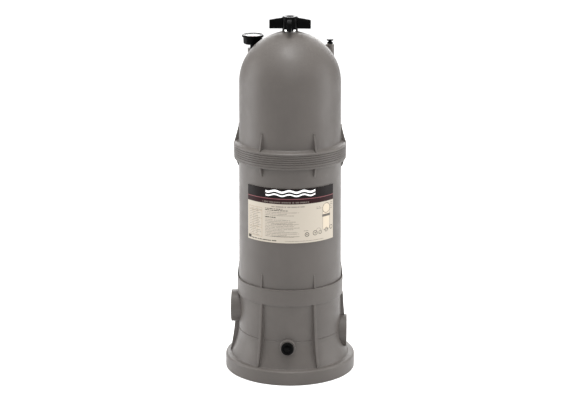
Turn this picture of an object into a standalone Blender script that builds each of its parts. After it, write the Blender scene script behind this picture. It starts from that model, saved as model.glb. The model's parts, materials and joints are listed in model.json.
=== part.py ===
"""Cartridge filter housing for a pool or spa, as separate moulded, turned and sealed pieces.

Metres, +Z up. The origin is the centre of the foot flange on the floor. The label and the drain face -Y,
the inlet port faces -X and the outlet port faces +X. Every piece stands where it sits in the closed filter.
Profiles are (radius, height) points that run down the outer side of the piece.
"""

import bmesh
import bpy
from math import cos, pi, radians, sin, sqrt, tau
from mathutils import Matrix

# ---- how finely round pieces are faceted ---------------------------------------------------------------
SIDES = 40
PORT_SIDES = 24
SMALL_SIDES = 20
RING_SIDES = 6

# ---- fits ----------------------------------------------------------------------------------------------
GAP = 0.0003            # between pieces that touch
SLIDE = 0.0006          # between pieces that lift off each other
ROD_CLEARANCE = 0.0006  # round the tie rod
EDGE = 0.0015           # small chamfers
OVERRUN = 0.010         # how far a cutter runs past what it cuts

# ---- pressure body -------------------------------------------------------------------------------------
WALL = 0.008
TANK_EXTRA = 0.0008     # by which the tank's wall is thicker than the base's
TANK_RADIUS = 0.1358    # outside of the tank at its foot
TANK_DRAFT = 0.0019     # how much narrower the tank is under its rim
BAND_TOP = 0.251
BAND_HEIGHT = 0.044
BAND_WALL = 0.0045
SOCKET_DEPTH = 0.036
TANK_LENGTH = 0.323     # from the band's top to the underside of the rim flange
RIM_HEIGHT = 0.006
RIM_INSET = 0.0007      # the rim flange inside the collar's outside
SPIGOT_HEIGHT = 0.023   # how far the tank stands up inside the head's collar
SPIGOT_STEP = 0.0056    # spigot radius beyond the tank radius
THROAT_STEP = 0.006     # by which the tank widens inside its rim
THROAT_DROP = 0.008     # where it starts to widen, below the rim flange
SEAL_DEPTH = 0.0048     # of the groove in the spigot
SEAL_HALF = 0.0028      # half the groove's height
SEAL_SHARE = 0.6        # of the spigot's height that lies below the groove's middle

# ---- base ----------------------------------------------------------------------------------------------
CREASE_Z = 0.109        # where the skirt begins to flare
SKIRT_INSET = 0.0013    # skirt radius under the band, inside the tank radius
SKIRT_DRAFT = 0.0025
FLARE = 0.0190
FLARE_POWER = 1.6
LEDGE_Z = 0.038         # top of the foot flange
LEDGE_WIDTH = 0.0167
FLANGE_ROUND = 0.009
FLANGE_WALL = 0.0065
FLOOR_Z = 0.050         # inside bottom of the vessel
FLOOR_WALL = 0.008
FLOOR_CORNER = 0.010    # between the vessel's floor and its side
RIB_WALL = 0.0075
RIB_SINK = 0.003        # how far a rib's foot is rooted in the flange
RIB_HEAD = 0.004        # how far its head is rooted in the band
RIB_EDGE = (            # its outer edge: (share of the way down, reach beyond the band)
    (0, 0.0005),
    (0.34, 0.0045),
    (0.56, 0.0110),
    (0.88, 0.0170),
)
RIB_TOE = 0.004         # its foot beyond the skirt's
OUTLET_RIB = 0.006      # the short rib's end beyond the band
RIB_ANGLES = (30, 90, 150, 210, 270, 330)

# ---- ports, drain and tie rod anchor -------------------------------------------------------------------
PORT_RADIUS = 0.043
PORT_BORE = 0.0296      # clear radius for a 2 in pipe thread
INLET_DROP = 0.001      # from the band to the inlet's rim
INLET_REACH = 0.0207    # face beyond the tank radius
OUTLET_LIFT = 0.016     # from the foot flange to the outlet's rim
OUTLET_REACH = 0.0162
STUB = 0.012            # how far a port boss stands inside the wall
DRAIN_Z = 0.095
DRAIN_BOSS_RADIUS = 0.019
DRAIN_REACH = 0.0112
DRAIN_BORE = 0.0106
DRAIN_HEAD_RADIUS = 0.0165
DRAIN_HEAD = 0.0075     # thickness of the plug's head
DRAIN_SHANK = 0.022
DRAIN_GRIP = 0.012      # side of the square that a wrench turns
SEAL_THICKNESS = 0.0018
ROD_RADIUS = 0.00635
ANCHOR_WALL = 0.00465   # round the rod
ANCHOR_BOSS_WALL = 0.005
ROD_SEAL_WIDTH = 0.00465
INSERT_WALL = 0.00365
SLEEVE_WALL = 0.00295
POST_ROOM = 0.0055      # from the knob's sleeve to a crown post
ANCHOR_BOSS_TOP = 0.084
ANCHOR_DROP = 0.002     # the anchor's foot below the rod's
ROD_STAND = 0.012       # the rod's foot above the vessel's floor
ROD_PROUD = 0.017       # the rod's top above the knob's underside

# ---- head ----------------------------------------------------------------------------------------------
HEAD_INSET = 0.0024     # head radius at its foot, inside the tank radius
DOME_DRAFT = 0.0011
COLLAR_REACH = 0.0117   # collar radius beyond the tank radius
SHOULDER = 0.014        # head above the tank's spigot, inside
HEAD_STRAIGHT = 0.157   # from the collar's top to the centre of the dome
CROWN_WALL = 0.013
PAD_DROP = 0.0008       # the flat pad under the knob, below the dome's top
CROWN_INNER = 0.018     # radius of the flat inside the crown
ROD_SEAL_SEAT = 0.0045  # below the pad
SHOULDER_GAP = 0.001    # over the tank's spigot
COLLAR_EDGE = 0.0025    # rounding at the collar's top
RIDGES = 6              # round the collar
RIDGE_DEPTH = 0.0012
GUSSET_WALL = 0.0045
HEAD_GUSSET = 0.045     # height above the collar
RIM_GUSSET = 0.024      # height under the rim flange
BAND_GUSSET = 0.034     # height above the band
POST_DEPTH = 0.0052
POST_WIDTH = 0.007
POST_TOP = 0.0067       # above the dome

# ---- gauge and relief valve, on the dome's shoulders ---------------------------------------------------
FITTING_INSET = 0.0057  # from the dome's side to a fitting's axis
GAUGE_ANGLE = 233       # round from the front, towards +X
VALVE_ANGLE = 127
BOSS_ROOT = 0.018       # above the dome's centre
BOSS_TAPER = 0.028      # height over which a boss runs out into the dome
BORE_EXTRA = 0.008      # a fitting's bore beyond its stem
PRESSURE_WAY = 0.0025   # radius of the hole from a fitting's bore into the head
GAUGE_BOSS_RADIUS = 0.0138
GAUGE_NESTLE = 0.00073  # how far the case's rounded foot sits below the dome beside it
GAUGE_RADIUS = 0.026
GAUGE_DEPTH = 0.0215
CASE_WALL = 0.0016
CASE_FLOOR = 0.0018
CASE_CORNER = 0.004     # rounding of the case's foot
DIAL_DROP = 0.0020      # from the case's rim
DIAL_THICKNESS = 0.0007
DIAL_HOLE = 0.0016      # round the needle's spindle
LENS_THICKNESS = 0.0015
BEZEL_LIP = 0.0025      # over the lens
BEZEL_WALL = 0.0022
BEZEL_SKIRT = 0.0030    # down the case
BEZEL_RISE = 0.0024     # over the lens
TUBE_RADIUS = 0.0022
TUBE_BEND = 0.015
TUBE_ANGLE = 250
TUBE_DROP = 0.012       # from the case's rim
NEEDLE_HUB = 0.0026
NEEDLE_SPINDLE = 0.0010
NEEDLE_REST = 225       # round from +X, where the scale begins
STEM_RADIUS = 0.0063
STEM_LENGTH = 0.018
STEM_HEX = 0.0075
STEM_NECK = 0.0105
VALVE_BOSS_RADIUS = 0.0108
VALVE_BOSS_LIFT = 0.0117  # above the gauge's boss
SEAT_LENGTH = 0.025
SEAT_RADIUS = 0.0068
SCREW_RADIUS = 0.0040
SPOOL_RADIUS = 0.0085
SPOOL_HEIGHT = 0.0105
SPOOL_WAIST = 0.0035    # depth of the finger groove

# ---- lock knob -----------------------------------------------------------------------------------------
WING_REACH = 0.0535
WING_WALL = 0.0115
WING_HEIGHT = 0.0195    # at its tip
HUB_WALL = 0.0095
HUB_HEIGHT = 0.0325
WING_ROOT = 0.011       # where a wing starts, inside the hub
WASHER_THICKNESS = 0.0016
INSERT_LIFT = 0.0012    # the insert above the knob's underside

# ---- filter element and outlet manifold ----------------------------------------------------------------
WATER_GAP = 0.0138      # between the tank's inside and the element
CAP_HEIGHT = 0.012
CAP_HOLE = 0.0483
CORE_WALL = 0.0045
PLEATS = SIDES          # so that the bands lie on the outer folds
PLEAT_SHARE = 0.0200    # radial thickness of the folded sheet
PLEAT_DEPTH = 0.041
BANDS = 3
BAND_THICKNESS = 0.0009
BAND_HALF = 0.006
CORE_ROWS = 3           # of slots
CORE_EDGE = 0.020       # solid tube between the rows, and the width of a slot
RETAINER_FLANGE = 0.008  # beyond the cap's hole
RETAINER_PLUG = 0.006   # below the cap
RETAINER_HUB = ((0.014, 0.008), (0.020, 0.006))  # (radius, above the element) of the boss on top
HEAD_ROOM = 0.0047      # between the element's top edge and the dome
SEAT_DROP = 0.029       # from the band's top to the flange that carries the element
SEAT_FLANGE = 0.007
SEAT_FLANGE_RADIUS = 0.062
SEAT_SPIGOT = 0.015     # above that flange, inside the element's cap
STANDPIPE_RADIUS = 0.042
STANDPIPE_WALL = 0.005
STANDPIPE_FLOOR = 0.006
TAIL_ROOM = 0.0042      # for the seal round the tail pipe
TAIL_WALL = 0.0042
TAIL_REACH = 0.011      # into the outlet port's boss
TAIL_SEAL = 0.005       # the seal's middle from the tail pipe's end
DIFFUSER_WALL = 0.0035
DIFFUSER_REACH = 0.012  # into the inlet port's boss
DIFFUSER_GAP = 0.040    # from the standpipe
DIFFUSER_RIM = 0.006    # between the closed end and the windows
WINDOW_SHARE = 0.75     # of the diffuser's inside width

# ---- label ---------------------------------------------------------------------------------------------
LABEL_DROP = 0.0515     # from the rim flange
LABEL_HEIGHT = 0.145
LABEL_ANGLE = 108
LABEL_TURN = 3.5        # its middle, from the front towards +X
LABEL_STEPS = 12
LABEL_THICKNESS = 0.0006
LABEL_LIFT = 0.0008     # clear of the tank's flat facets

# ---- worked out from the sizes above -------------------------------------------------------------------
BAND_BOTTOM = BAND_TOP - BAND_HEIGHT
RIM_Z = BAND_TOP + TANK_LENGTH
INLET_Z = BAND_BOTTOM - PORT_RADIUS - INLET_DROP
OUTLET_Z = LEDGE_Z + PORT_RADIUS + OUTLET_LIFT
SEAT_Z = BAND_TOP - SEAT_DROP
TAIL_RADIUS = PORT_BORE - TAIL_ROOM
LABEL_TOP = RIM_Z - LABEL_DROP
LABEL_BOTTOM = LABEL_TOP - LABEL_HEIGHT
ANCHOR_RADIUS = ROD_RADIUS + ANCHOR_WALL
ANCHOR_BOSS_RADIUS = ANCHOR_RADIUS + ANCHOR_BOSS_WALL
ROD_SEAL_RADIUS = ROD_RADIUS + ROD_SEAL_WIDTH
INSERT_RADIUS = ROD_RADIUS + INSERT_WALL
SLEEVE_RADIUS = ROD_RADIUS + SLEEVE_WALL
HUB_RADIUS = INSERT_RADIUS + HUB_WALL
POST_INNER = SLEEVE_RADIUS + POST_ROOM
POST_OUTER = POST_INNER + POST_DEPTH
TANK_INNER = TANK_RADIUS - WALL - TANK_EXTRA
SKIRT_TOP_RADIUS = TANK_RADIUS - SKIRT_INSET
CREASE_RADIUS = SKIRT_TOP_RADIUS + SKIRT_DRAFT
FOOT_RADIUS = CREASE_RADIUS + FLARE
FLANGE_RADIUS = FOOT_RADIUS + LEDGE_WIDTH
BAND_RADIUS = TANK_RADIUS + BAND_WALL + GAP
INLET_FACE = TANK_RADIUS + INLET_REACH
OUTLET_FACE = TANK_RADIUS + OUTLET_REACH
DRAIN_FACE = TANK_RADIUS + DRAIN_REACH
COLLAR_RADIUS = TANK_RADIUS + COLLAR_REACH
SPIGOT_RADIUS = TANK_RADIUS + SPIGOT_STEP
COLLAR_BORE = SPIGOT_RADIUS + SLIDE
COLLAR_BOTTOM = RIM_Z + RIM_HEIGHT + GAP
SPIGOT_TOP = RIM_Z + RIM_HEIGHT + SPIGOT_HEIGHT
COLLAR_TOP = SPIGOT_TOP + SHOULDER
DOME_Z = COLLAR_TOP + HEAD_STRAIGHT
GROOVE_Z = RIM_Z + RIM_HEIGHT + SEAL_SHARE * SPIGOT_HEIGHT
HEAD_RADIUS = TANK_RADIUS - HEAD_INSET
DOME_RADIUS = HEAD_RADIUS - DOME_DRAFT
DOME_TOP = DOME_Z + DOME_RADIUS
CROWN_PAD = DOME_TOP - PAD_DROP
FITTING_RADIUS = DOME_RADIUS - FITTING_INSET
KNOB_Z = DOME_TOP + POST_TOP + GAP
ROD_BOTTOM = FLOOR_Z + ROD_STAND
ROD_TOP = KNOB_Z + ROD_PROUD
WASHER_BOTTOM = CROWN_PAD + GAP
ELEMENT_RADIUS = TANK_INNER - WATER_GAP
ELEMENT_BOTTOM = SEAT_Z + SEAT_FLANGE + GAP
DOME_INNER = DOME_RADIUS - WALL
ELEMENT_TOP = DOME_Z + sqrt((DOME_INNER - HEAD_ROOM) ** 2 - ELEMENT_RADIUS ** 2)
GAUGE_CASE_Z = DOME_Z + sqrt(DOME_RADIUS ** 2 - (FITTING_RADIUS - GAUGE_RADIUS) ** 2) - GAUGE_NESTLE
GAUGE_BOSS_Z = GAUGE_CASE_Z - STEM_NECK - GAP
VALVE_BOSS_Z = GAUGE_BOSS_Z + VALVE_BOSS_LIFT
GAUGE_RIM_Z = GAUGE_CASE_Z + GAUGE_DEPTH

# ---- finishes: colour, roughness, metallic -------------------------------------------------------------
HOUSING = ((0.155, 0.140, 0.128), 0.55, 0.0)
BLACK_PLASTIC = ((0.012, 0.012, 0.013), 0.38, 0.0)
DARK_RUBBER = ((0.020, 0.020, 0.020), 0.70, 0.0)
STAINLESS = ((0.620, 0.620, 0.600), 0.28, 1.0)
BRASS = ((0.560, 0.400, 0.160), 0.32, 1.0)
WHITE_PLASTIC = ((0.620, 0.620, 0.600), 0.45, 0.0)
BLUE_CAP = ((0.060, 0.130, 0.260), 0.60, 0.0)
MEDIA = ((0.780, 0.790, 0.790), 0.85, 0.0)
LABEL_PAPER = ((0.600, 0.520, 0.440), 0.40, 0.0)
DIAL_WHITE = ((0.850, 0.850, 0.830), 0.45, 0.0)
NEEDLE_RED = ((0.500, 0.030, 0.020), 0.40, 0.0)
CLEAR = ((0.850, 0.900, 0.900), 0.05, 0.0)

# how the three ways out of the axis are turned
TO_LEFT = (0, -pi / 2, 0)
TO_RIGHT = (0, pi / 2, 0)
TO_FRONT = (pi / 2, 0, 0)


def clear_scene():
    for obj in list(bpy.data.objects):
        bpy.data.objects.remove(obj, do_unlink=True)


def new_collection(name):
    collection = bpy.data.collections.new(name)
    bpy.context.scene.collection.children.link(collection)
    return collection


def principled(name, finish):
    colour, roughness, metallic = finish
    material = bpy.data.materials.new(name)
    material.use_nodes = True
    shader = material.node_tree.nodes["Principled BSDF"]
    shader.inputs["Base Color"].default_value = (*colour, 1.0)
    shader.inputs["Roughness"].default_value = roughness
    shader.inputs["Metallic"].default_value = metallic
    return material


def add(name, mesh, finish):
    """A part with its own material, or a cutter where finish is None."""
    obj = bpy.data.objects.new(name, mesh)
    if finish is None:
        CUTTERS.objects.link(obj)
        obj.hide_render = True
        obj.display_type = "WIRE"
    else:
        PARTS.objects.link(obj)
        mesh.materials.append(principled(name, finish))
    return obj


def screw(obj, sides, angle=tau):
    turn = obj.modifiers.new("Turn", "SCREW")
    turn.angle = angle
    turn.steps = sides
    turn.render_steps = sides
    turn.use_merge_vertices = angle == tau
    turn.merge_threshold = 0.00001


def turned(name, profile, finish=None, sides=SIDES, closed=False, place=(0, 0, 0), turn=(0, 0, 0)):
    """A solid of revolution from a profile that starts and ends on the axis, or from a closed ring profile."""
    last = len(profile) - 1
    edges = [(i, i + 1) for i in range(last)] + ([(last, 0)] if closed else [])
    mesh = bpy.data.meshes.new(name)
    mesh.from_pydata([(r, 0, z) for r, z in profile], edges, [])
    obj = add(name, mesh, finish)
    obj.location = place
    obj.rotation_euler = turn
    screw(obj, sides)
    return obj


def rod(name, radius, bottom, top, finish=None, sides=SIDES, **where):
    return turned(name, [(0, top), (radius, top), (radius, bottom), (0, bottom)], finish, sides, **where)


def ring(name, inner, outer, bottom, top, finish=None, sides=SIDES, **where):
    profile = [(inner, top), (outer, top), (outer, bottom), (inner, bottom)]
    return turned(name, profile, finish, sides, closed=True, **where)


def seal_ring(name, radius, thickness, height, finish, sides=SIDES, **where):
    """An O-ring: a round section turned about the axis."""
    half = thickness / 2
    steps = [tau * i / RING_SIDES for i in range(RING_SIDES)]
    profile = [(radius + half * cos(a), height - half * sin(a)) for a in steps]
    return turned(name, profile, finish, sides, closed=True, **where)


def arc(centre_height, radius, start, end, count):
    """Points on a circle centred on the axis, by angle above the horizontal in degrees."""
    angles = [radians(start + (end - start) * i / (count - 1)) for i in range(count)]
    return [(radius * cos(a), centre_height + radius * sin(a)) for a in angles]


def outline_mesh(loops, thickness):
    """A flat outline, with holes where loops lie inside others, extruded to a plate and made a mesh."""
    curve = bpy.data.curves.new("Outline", "CURVE")
    curve.dimensions = "2D"
    curve.fill_mode = "BOTH"
    curve.extrude = thickness / 2
    for loop in loops:
        spline = curve.splines.new("POLY")
        spline.points.add(len(loop) - 1)
        for point, (x, y) in zip(spline.points, loop):
            point.co = (x, y, 0, 1)
        spline.use_cyclic_u = True
    guide = bpy.data.objects.new("Outline", curve)
    CUTTERS.objects.link(guide)
    bpy.context.view_layer.update()
    mesh = bpy.data.meshes.new_from_object(guide.evaluated_get(bpy.context.evaluated_depsgraph_get()))
    bpy.data.objects.remove(guide, do_unlink=True)
    shape = bmesh.new()
    shape.from_mesh(mesh)
    bmesh.ops.remove_doubles(shape, verts=shape.verts, dist=0.000001)
    bmesh.ops.recalc_face_normals(shape, faces=shape.faces)
    shape.to_mesh(mesh)
    shape.free()
    mesh.materials.clear()
    return mesh


def fins(name, outline, thickness, angles):
    """Upright plates round the axis, from one (radius, height) outline; angles run from the front to +X."""
    plate = outline_mesh([outline], thickness)
    plate.transform(Matrix.Rotation(pi / 2, 4, "X"))
    shape = bmesh.new()
    for angle in angles:
        turned_plate = plate.copy()
        turned_plate.transform(Matrix.Rotation(radians(angle - 90), 4, "Z"))
        shape.from_mesh(turned_plate)
        bpy.data.meshes.remove(turned_plate)
    mesh = bpy.data.meshes.new(name)
    shape.to_mesh(mesh)
    shape.free()
    return add(name, mesh, None)


def block(name, size, centre, finish=None):
    mesh = bpy.data.meshes.new(name)
    shape = bmesh.new()
    bmesh.ops.create_cube(shape, size=1.0)
    bmesh.ops.scale(shape, vec=size, verts=shape.verts)
    shape.to_mesh(mesh)
    shape.free()
    obj = add(name, mesh, finish)
    obj.location = centre
    return obj


def boolean(obj, tool, operation, solver):
    modifier = obj.modifiers.new(tool.name, "BOOLEAN")
    modifier.operation = operation
    modifier.solver = solver
    modifier.object = tool


def join(obj, *tools):
    for tool in tools:
        boolean(obj, tool, "UNION", "EXACT")


def cut(obj, *tools):
    for tool in tools:
        boolean(obj, tool, "DIFFERENCE", "EXACT")


def drill(obj, *tools):
    """Bores through faces that already have holes, which the exact solver leaves open."""
    for tool in tools:
        boolean(obj, tool, "DIFFERENCE", "MANIFOLD")


def fitting_place(angle):
    """Where a fitting stands on the dome's shoulder, by its angle round from the front towards +X."""
    a = radians(angle)
    return (FITTING_RADIUS * sin(a), -FITTING_RADIUS * cos(a), 0)


def tank_radius_at(height):
    """The tank's outside, which narrows from the band to the rim."""
    share = (height - BAND_TOP) / (RIM_Z - BAND_TOP)
    return TANK_RADIUS - TANK_DRAFT * min(max(share, 0), 1)


def skirt_radius_at(height):
    """The base's outside between the band and the foot flange."""
    if height >= CREASE_Z:
        return CREASE_RADIUS - SKIRT_DRAFT * (height - CREASE_Z) / (BAND_BOTTOM - CREASE_Z)
    return CREASE_RADIUS + FLARE * ((CREASE_Z - height) / (CREASE_Z - LEDGE_Z)) ** FLARE_POWER


def skirt_profile(inset, bottom, count):
    """Points down the flare of the skirt, set in by the wall where inset isn't zero."""
    heights = [CREASE_Z - (CREASE_Z - bottom) * i / (count - 1) for i in range(count)]
    return [(skirt_radius_at(z) - inset, z) for z in heights]


# ---- base ----------------------------------------------------------------------------------------------


def rib_outline(bottom):
    """From the band's underside down the skirt to the foot flange, or to a port where bottom is higher."""
    top = BAND_BOTTOM + RIB_HEAD
    run = BAND_BOTTOM - LEDGE_Z
    edge = [(BAND_RADIUS + reach, BAND_BOTTOM - share * run) for share, reach in RIB_EDGE]
    edge.append((FOOT_RADIUS + RIB_TOE, LEDGE_Z - RIB_SINK))
    kept = [point for point in edge if point[1] >= bottom]
    if bottom > LEDGE_Z:
        kept.append((BAND_RADIUS + OUTLET_RIB, bottom))
    inner = [(radius, z) for radius, z in skirt_profile(WALL / 2, LEDGE_Z + 0.002, 4) if z > bottom]
    if bottom > LEDGE_Z:
        inner.append((skirt_radius_at(bottom) - WALL / 2, bottom))
    else:
        inner.append((FOOT_RADIUS - RIB_SINK, bottom))
    return [(SKIRT_TOP_RADIUS - WALL / 2, top), (BAND_RADIUS - 0.001, top), *kept, *reversed(inner)]


def base_outer():
    flange = [
        (FLANGE_RADIUS - FLANGE_ROUND * (1 - sin(a)), LEDGE_Z - FLANGE_ROUND * (1 - cos(a)))
        for a in (0, pi / 6, pi / 3, pi / 2)
    ]
    return [
        (0, BAND_TOP),
        (BAND_RADIUS - 0.0008, BAND_TOP),
        (BAND_RADIUS, BAND_TOP - 0.0008),
        (BAND_RADIUS, BAND_BOTTOM),
        (SKIRT_TOP_RADIUS, BAND_BOTTOM),
        *skirt_profile(0, LEDGE_Z + 0.001, 5),
        *flange,
        (FLANGE_RADIUS, EDGE),
        (FLANGE_RADIUS - EDGE, 0),
        (FLANGE_RADIUS - FLANGE_WALL, 0),
        (FLANGE_RADIUS - FLANGE_WALL, LEDGE_Z - 0.008),
        (FOOT_RADIUS - 0.006, LEDGE_Z - 0.006),
        (FOOT_RADIUS - 0.011, FLOOR_Z - FLOOR_WALL),
        (0, FLOOR_Z - FLOOR_WALL),
    ]


def base_cavity():
    socket = TANK_RADIUS + GAP
    corner = FLOOR_Z + FLOOR_CORNER
    return [
        (0, BAND_TOP + OVERRUN),
        (socket, BAND_TOP + OVERRUN),
        (socket, BAND_TOP - SOCKET_DEPTH),
        (TANK_INNER, BAND_TOP - SOCKET_DEPTH),
        (TANK_INNER, BAND_BOTTOM - 0.012),
        *skirt_profile(WALL, corner, 4),
        (skirt_radius_at(corner) - WALL - FLOOR_CORNER, FLOOR_Z),
        (0, FLOOR_Z),
    ]


def port_boss(name, height, face, turn):
    inner_end = TANK_INNER - STUB
    profile = [
        (0, face),
        (PORT_RADIUS - EDGE, face),
        (PORT_RADIUS, face - EDGE),
        (PORT_RADIUS, inner_end),
        (0, inner_end),
    ]
    return turned(name, profile, sides=PORT_SIDES, place=(0, 0, height), turn=turn)


def make_base():
    base = turned("filter_base", base_outer(), HOUSING)
    short_rib_bottom = OUTLET_Z + PORT_RADIUS - OVERRUN
    join(
        base,
        fins("base_ribs", rib_outline(LEDGE_Z - RIB_SINK), RIB_WALL, [a for a in RIB_ANGLES if a != 90]),
        fins("outlet_rib", rib_outline(short_rib_bottom), RIB_WALL, [90]),
        rod("drain_boss", DRAIN_BOSS_RADIUS, CREASE_RADIUS - 2 * WALL, DRAIN_FACE, sides=SMALL_SIDES,
            place=(0, 0, DRAIN_Z), turn=TO_FRONT),
    )
    cut(base, turned("base_cavity", base_cavity()))
    join(
        base,
        port_boss("inlet_boss", INLET_Z, INLET_FACE, TO_LEFT),
        port_boss("outlet_boss", OUTLET_Z, OUTLET_FACE, TO_RIGHT),
        rod("anchor_boss", ANCHOR_BOSS_RADIUS, FLOOR_Z - FLOOR_WALL / 2, ANCHOR_BOSS_TOP, sides=SMALL_SIDES),
    )
    reach = TANK_INNER - STUB - OVERRUN
    drill(
        base,
        rod("inlet_bore", PORT_BORE, reach, INLET_FACE + OVERRUN, sides=PORT_SIDES,
            place=(0, 0, INLET_Z), turn=TO_LEFT),
        rod("outlet_bore", PORT_BORE, reach, OUTLET_FACE + OVERRUN, sides=PORT_SIDES,
            place=(0, 0, OUTLET_Z), turn=TO_RIGHT),
        rod("drain_bore", DRAIN_BORE, CREASE_RADIUS - 3 * WALL, DRAIN_FACE + OVERRUN, sides=SMALL_SIDES,
            place=(0, 0, DRAIN_Z), turn=TO_FRONT),
        rod("anchor_bore", ANCHOR_RADIUS + GAP, ROD_BOTTOM - ANCHOR_DROP - 0.001, ANCHOR_BOSS_TOP + OVERRUN,
            sides=SMALL_SIDES),
    )


def make_tie_rod():
    inner = ROD_RADIUS + GAP
    rod("tie_rod", ROD_RADIUS, ROD_BOTTOM, ROD_TOP, STAINLESS, SMALL_SIDES)
    ring("rod_anchor", inner, ANCHOR_RADIUS, ROD_BOTTOM - ANCHOR_DROP, ANCHOR_BOSS_TOP - 0.001, BRASS, SMALL_SIDES)


def make_drain():
    where = {"place": (0, 0, DRAIN_Z), "turn": TO_FRONT}
    seat = DRAIN_FACE + SEAL_THICKNESS + 2 * GAP
    shank = DRAIN_BORE - 0.0004
    plug_profile = [
        (0, seat + DRAIN_HEAD),
        (DRAIN_HEAD_RADIUS - EDGE, seat + DRAIN_HEAD),
        (DRAIN_HEAD_RADIUS, seat + DRAIN_HEAD - EDGE),
        (DRAIN_HEAD_RADIUS, seat),
        (shank, seat),
        (shank, seat - DRAIN_SHANK + 0.002),
        (shank - 0.002, seat - DRAIN_SHANK),
        (0, seat - DRAIN_SHANK),
    ]
    plug = turned("drain_plug", plug_profile, BLACK_PLASTIC, SMALL_SIDES, **where)
    grip = block("drain_grip", (DRAIN_GRIP,) * 3, (0, -(seat + DRAIN_HEAD), DRAIN_Z))
    join(plug, grip)
    ring("drain_seal", DRAIN_BORE + GAP, DRAIN_HEAD_RADIUS - 0.0012, DRAIN_FACE + GAP,
         DRAIN_FACE + GAP + SEAL_THICKNESS, DARK_RUBBER, SMALL_SIDES, **where)


# ---- tank ----------------------------------------------------------------------------------------------


def tank_profile():
    under_rim = tank_radius_at(RIM_Z)
    groove = SPIGOT_RADIUS - SEAL_DEPTH
    flange = TANK_RADIUS + COLLAR_REACH - RIM_INSET
    throat = TANK_INNER + THROAT_STEP
    return [
        (throat, SPIGOT_TOP),
        (SPIGOT_RADIUS - 0.001, SPIGOT_TOP),
        (SPIGOT_RADIUS, SPIGOT_TOP - 0.001),
        (SPIGOT_RADIUS, GROOVE_Z + SEAL_HALF),
        (groove, GROOVE_Z + SEAL_HALF),
        (groove, GROOVE_Z - SEAL_HALF),
        (SPIGOT_RADIUS, GROOVE_Z - SEAL_HALF),
        (SPIGOT_RADIUS, RIM_Z + RIM_HEIGHT),
        (flange, RIM_Z + RIM_HEIGHT),
        (flange, RIM_Z),
        (under_rim, RIM_Z),
        (TANK_RADIUS, BAND_TOP),
        (TANK_RADIUS, BAND_TOP - SOCKET_DEPTH + GAP),
        (TANK_INNER, BAND_TOP - SOCKET_DEPTH + GAP),
        (TANK_INNER, RIM_Z - THROAT_DROP),
        (throat, RIM_Z - THROAT_DROP + THROAT_STEP),
    ]


def make_tank():
    tank = turned("tank_body", tank_profile(), HOUSING, closed=True)
    root = TANK_RADIUS - WALL / 2
    rim = fins("rim_gussets", [
        (root, RIM_Z + 0.002),
        (COLLAR_RADIUS - 0.0025, RIM_Z + 0.002),
        (COLLAR_RADIUS - 0.0025, RIM_Z - 0.003),
        (tank_radius_at(RIM_Z) + 0.0030, RIM_Z - RIM_GUSSET + 0.003),
        (tank_radius_at(RIM_Z) - 0.0005, RIM_Z - RIM_GUSSET),
        (root, RIM_Z - RIM_GUSSET),
    ], GUSSET_WALL, RIB_ANGLES)
    foot = BAND_TOP + 2 * GAP
    band = fins("band_gussets", [
        (root, foot + BAND_GUSSET),
        (TANK_RADIUS - 0.0006, foot + BAND_GUSSET),
        (BAND_RADIUS - 0.0006, foot + 0.002),
        (BAND_RADIUS - 0.0006, foot),
        (root, foot),
    ], GUSSET_WALL, RIB_ANGLES)
    join(tank, rim, band)
    seal_ring("head_seal", SPIGOT_RADIUS - SEAL_DEPTH / 2 + SLIDE / 2 + 0.0001, SEAL_DEPTH, GROOVE_Z, DARK_RUBBER)


def make_label():
    mesh = bpy.data.meshes.new("label")
    points = [(tank_radius_at(z) + LABEL_LIFT, 0, z) for z in (LABEL_TOP, LABEL_BOTTOM)]
    mesh.from_pydata(points, [(0, 1)], [])
    label = add("label", mesh, LABEL_PAPER)
    label.rotation_euler = (0, 0, radians(-90 + LABEL_TURN - LABEL_ANGLE / 2))
    screw(label, LABEL_STEPS, radians(LABEL_ANGLE))
    sheet = label.modifiers.new("Sheet", "SOLIDIFY")
    sheet.thickness = LABEL_THICKNESS
    sheet.offset = 1.0


# ---- head ----------------------------------------------------------------------------------------------


def head_outer():
    pitch = (COLLAR_TOP - COLLAR_EDGE - COLLAR_BOTTOM) / RIDGES
    ridges = []
    for i in range(RIDGES - 1):
        z = COLLAR_TOP - COLLAR_EDGE - pitch * (i + 1)
        ridges += [(COLLAR_RADIUS, z + pitch * 0.4), (COLLAR_RADIUS - RIDGE_DEPTH, z)]
    return [
        (0, CROWN_PAD),
        (POST_INNER - 0.001, CROWN_PAD),
        *arc(DOME_Z, DOME_RADIUS, 80, 0, 10),
        (HEAD_RADIUS, COLLAR_TOP + 0.003),
        (COLLAR_RADIUS - 0.002, COLLAR_TOP - 0.0005),
        (COLLAR_RADIUS, COLLAR_TOP - COLLAR_EDGE),
        *ridges[1:],
        (COLLAR_RADIUS, COLLAR_BOTTOM),
        (0, COLLAR_BOTTOM),
    ]


def head_cavity():
    crown = DOME_TOP - CROWN_WALL
    inner_foot = HEAD_RADIUS - WALL
    shoulder = SPIGOT_TOP + SHOULDER_GAP
    return [
        (0, crown),
        (CROWN_INNER, crown),
        *arc(DOME_Z, DOME_INNER, 78, 0, 7),
        (inner_foot, shoulder + 0.004),
        (inner_foot, shoulder),
        (COLLAR_BORE, shoulder),
        (COLLAR_BORE, COLLAR_BOTTOM - OVERRUN),
        (0, COLLAR_BOTTOM - OVERRUN),
    ]


def fitting_boss(name, radius, top, angle):
    """An upright boss on the dome's shoulder that tapers into its side below."""
    root = DOME_Z + BOSS_ROOT
    inward = DOME_RADIUS - FITTING_RADIUS
    profile = [(0, top), (radius, top), (radius, root + BOSS_TAPER), (inward, root), (0, root)]
    return turned(name, profile, sides=SMALL_SIDES, place=fitting_place(angle))


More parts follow.
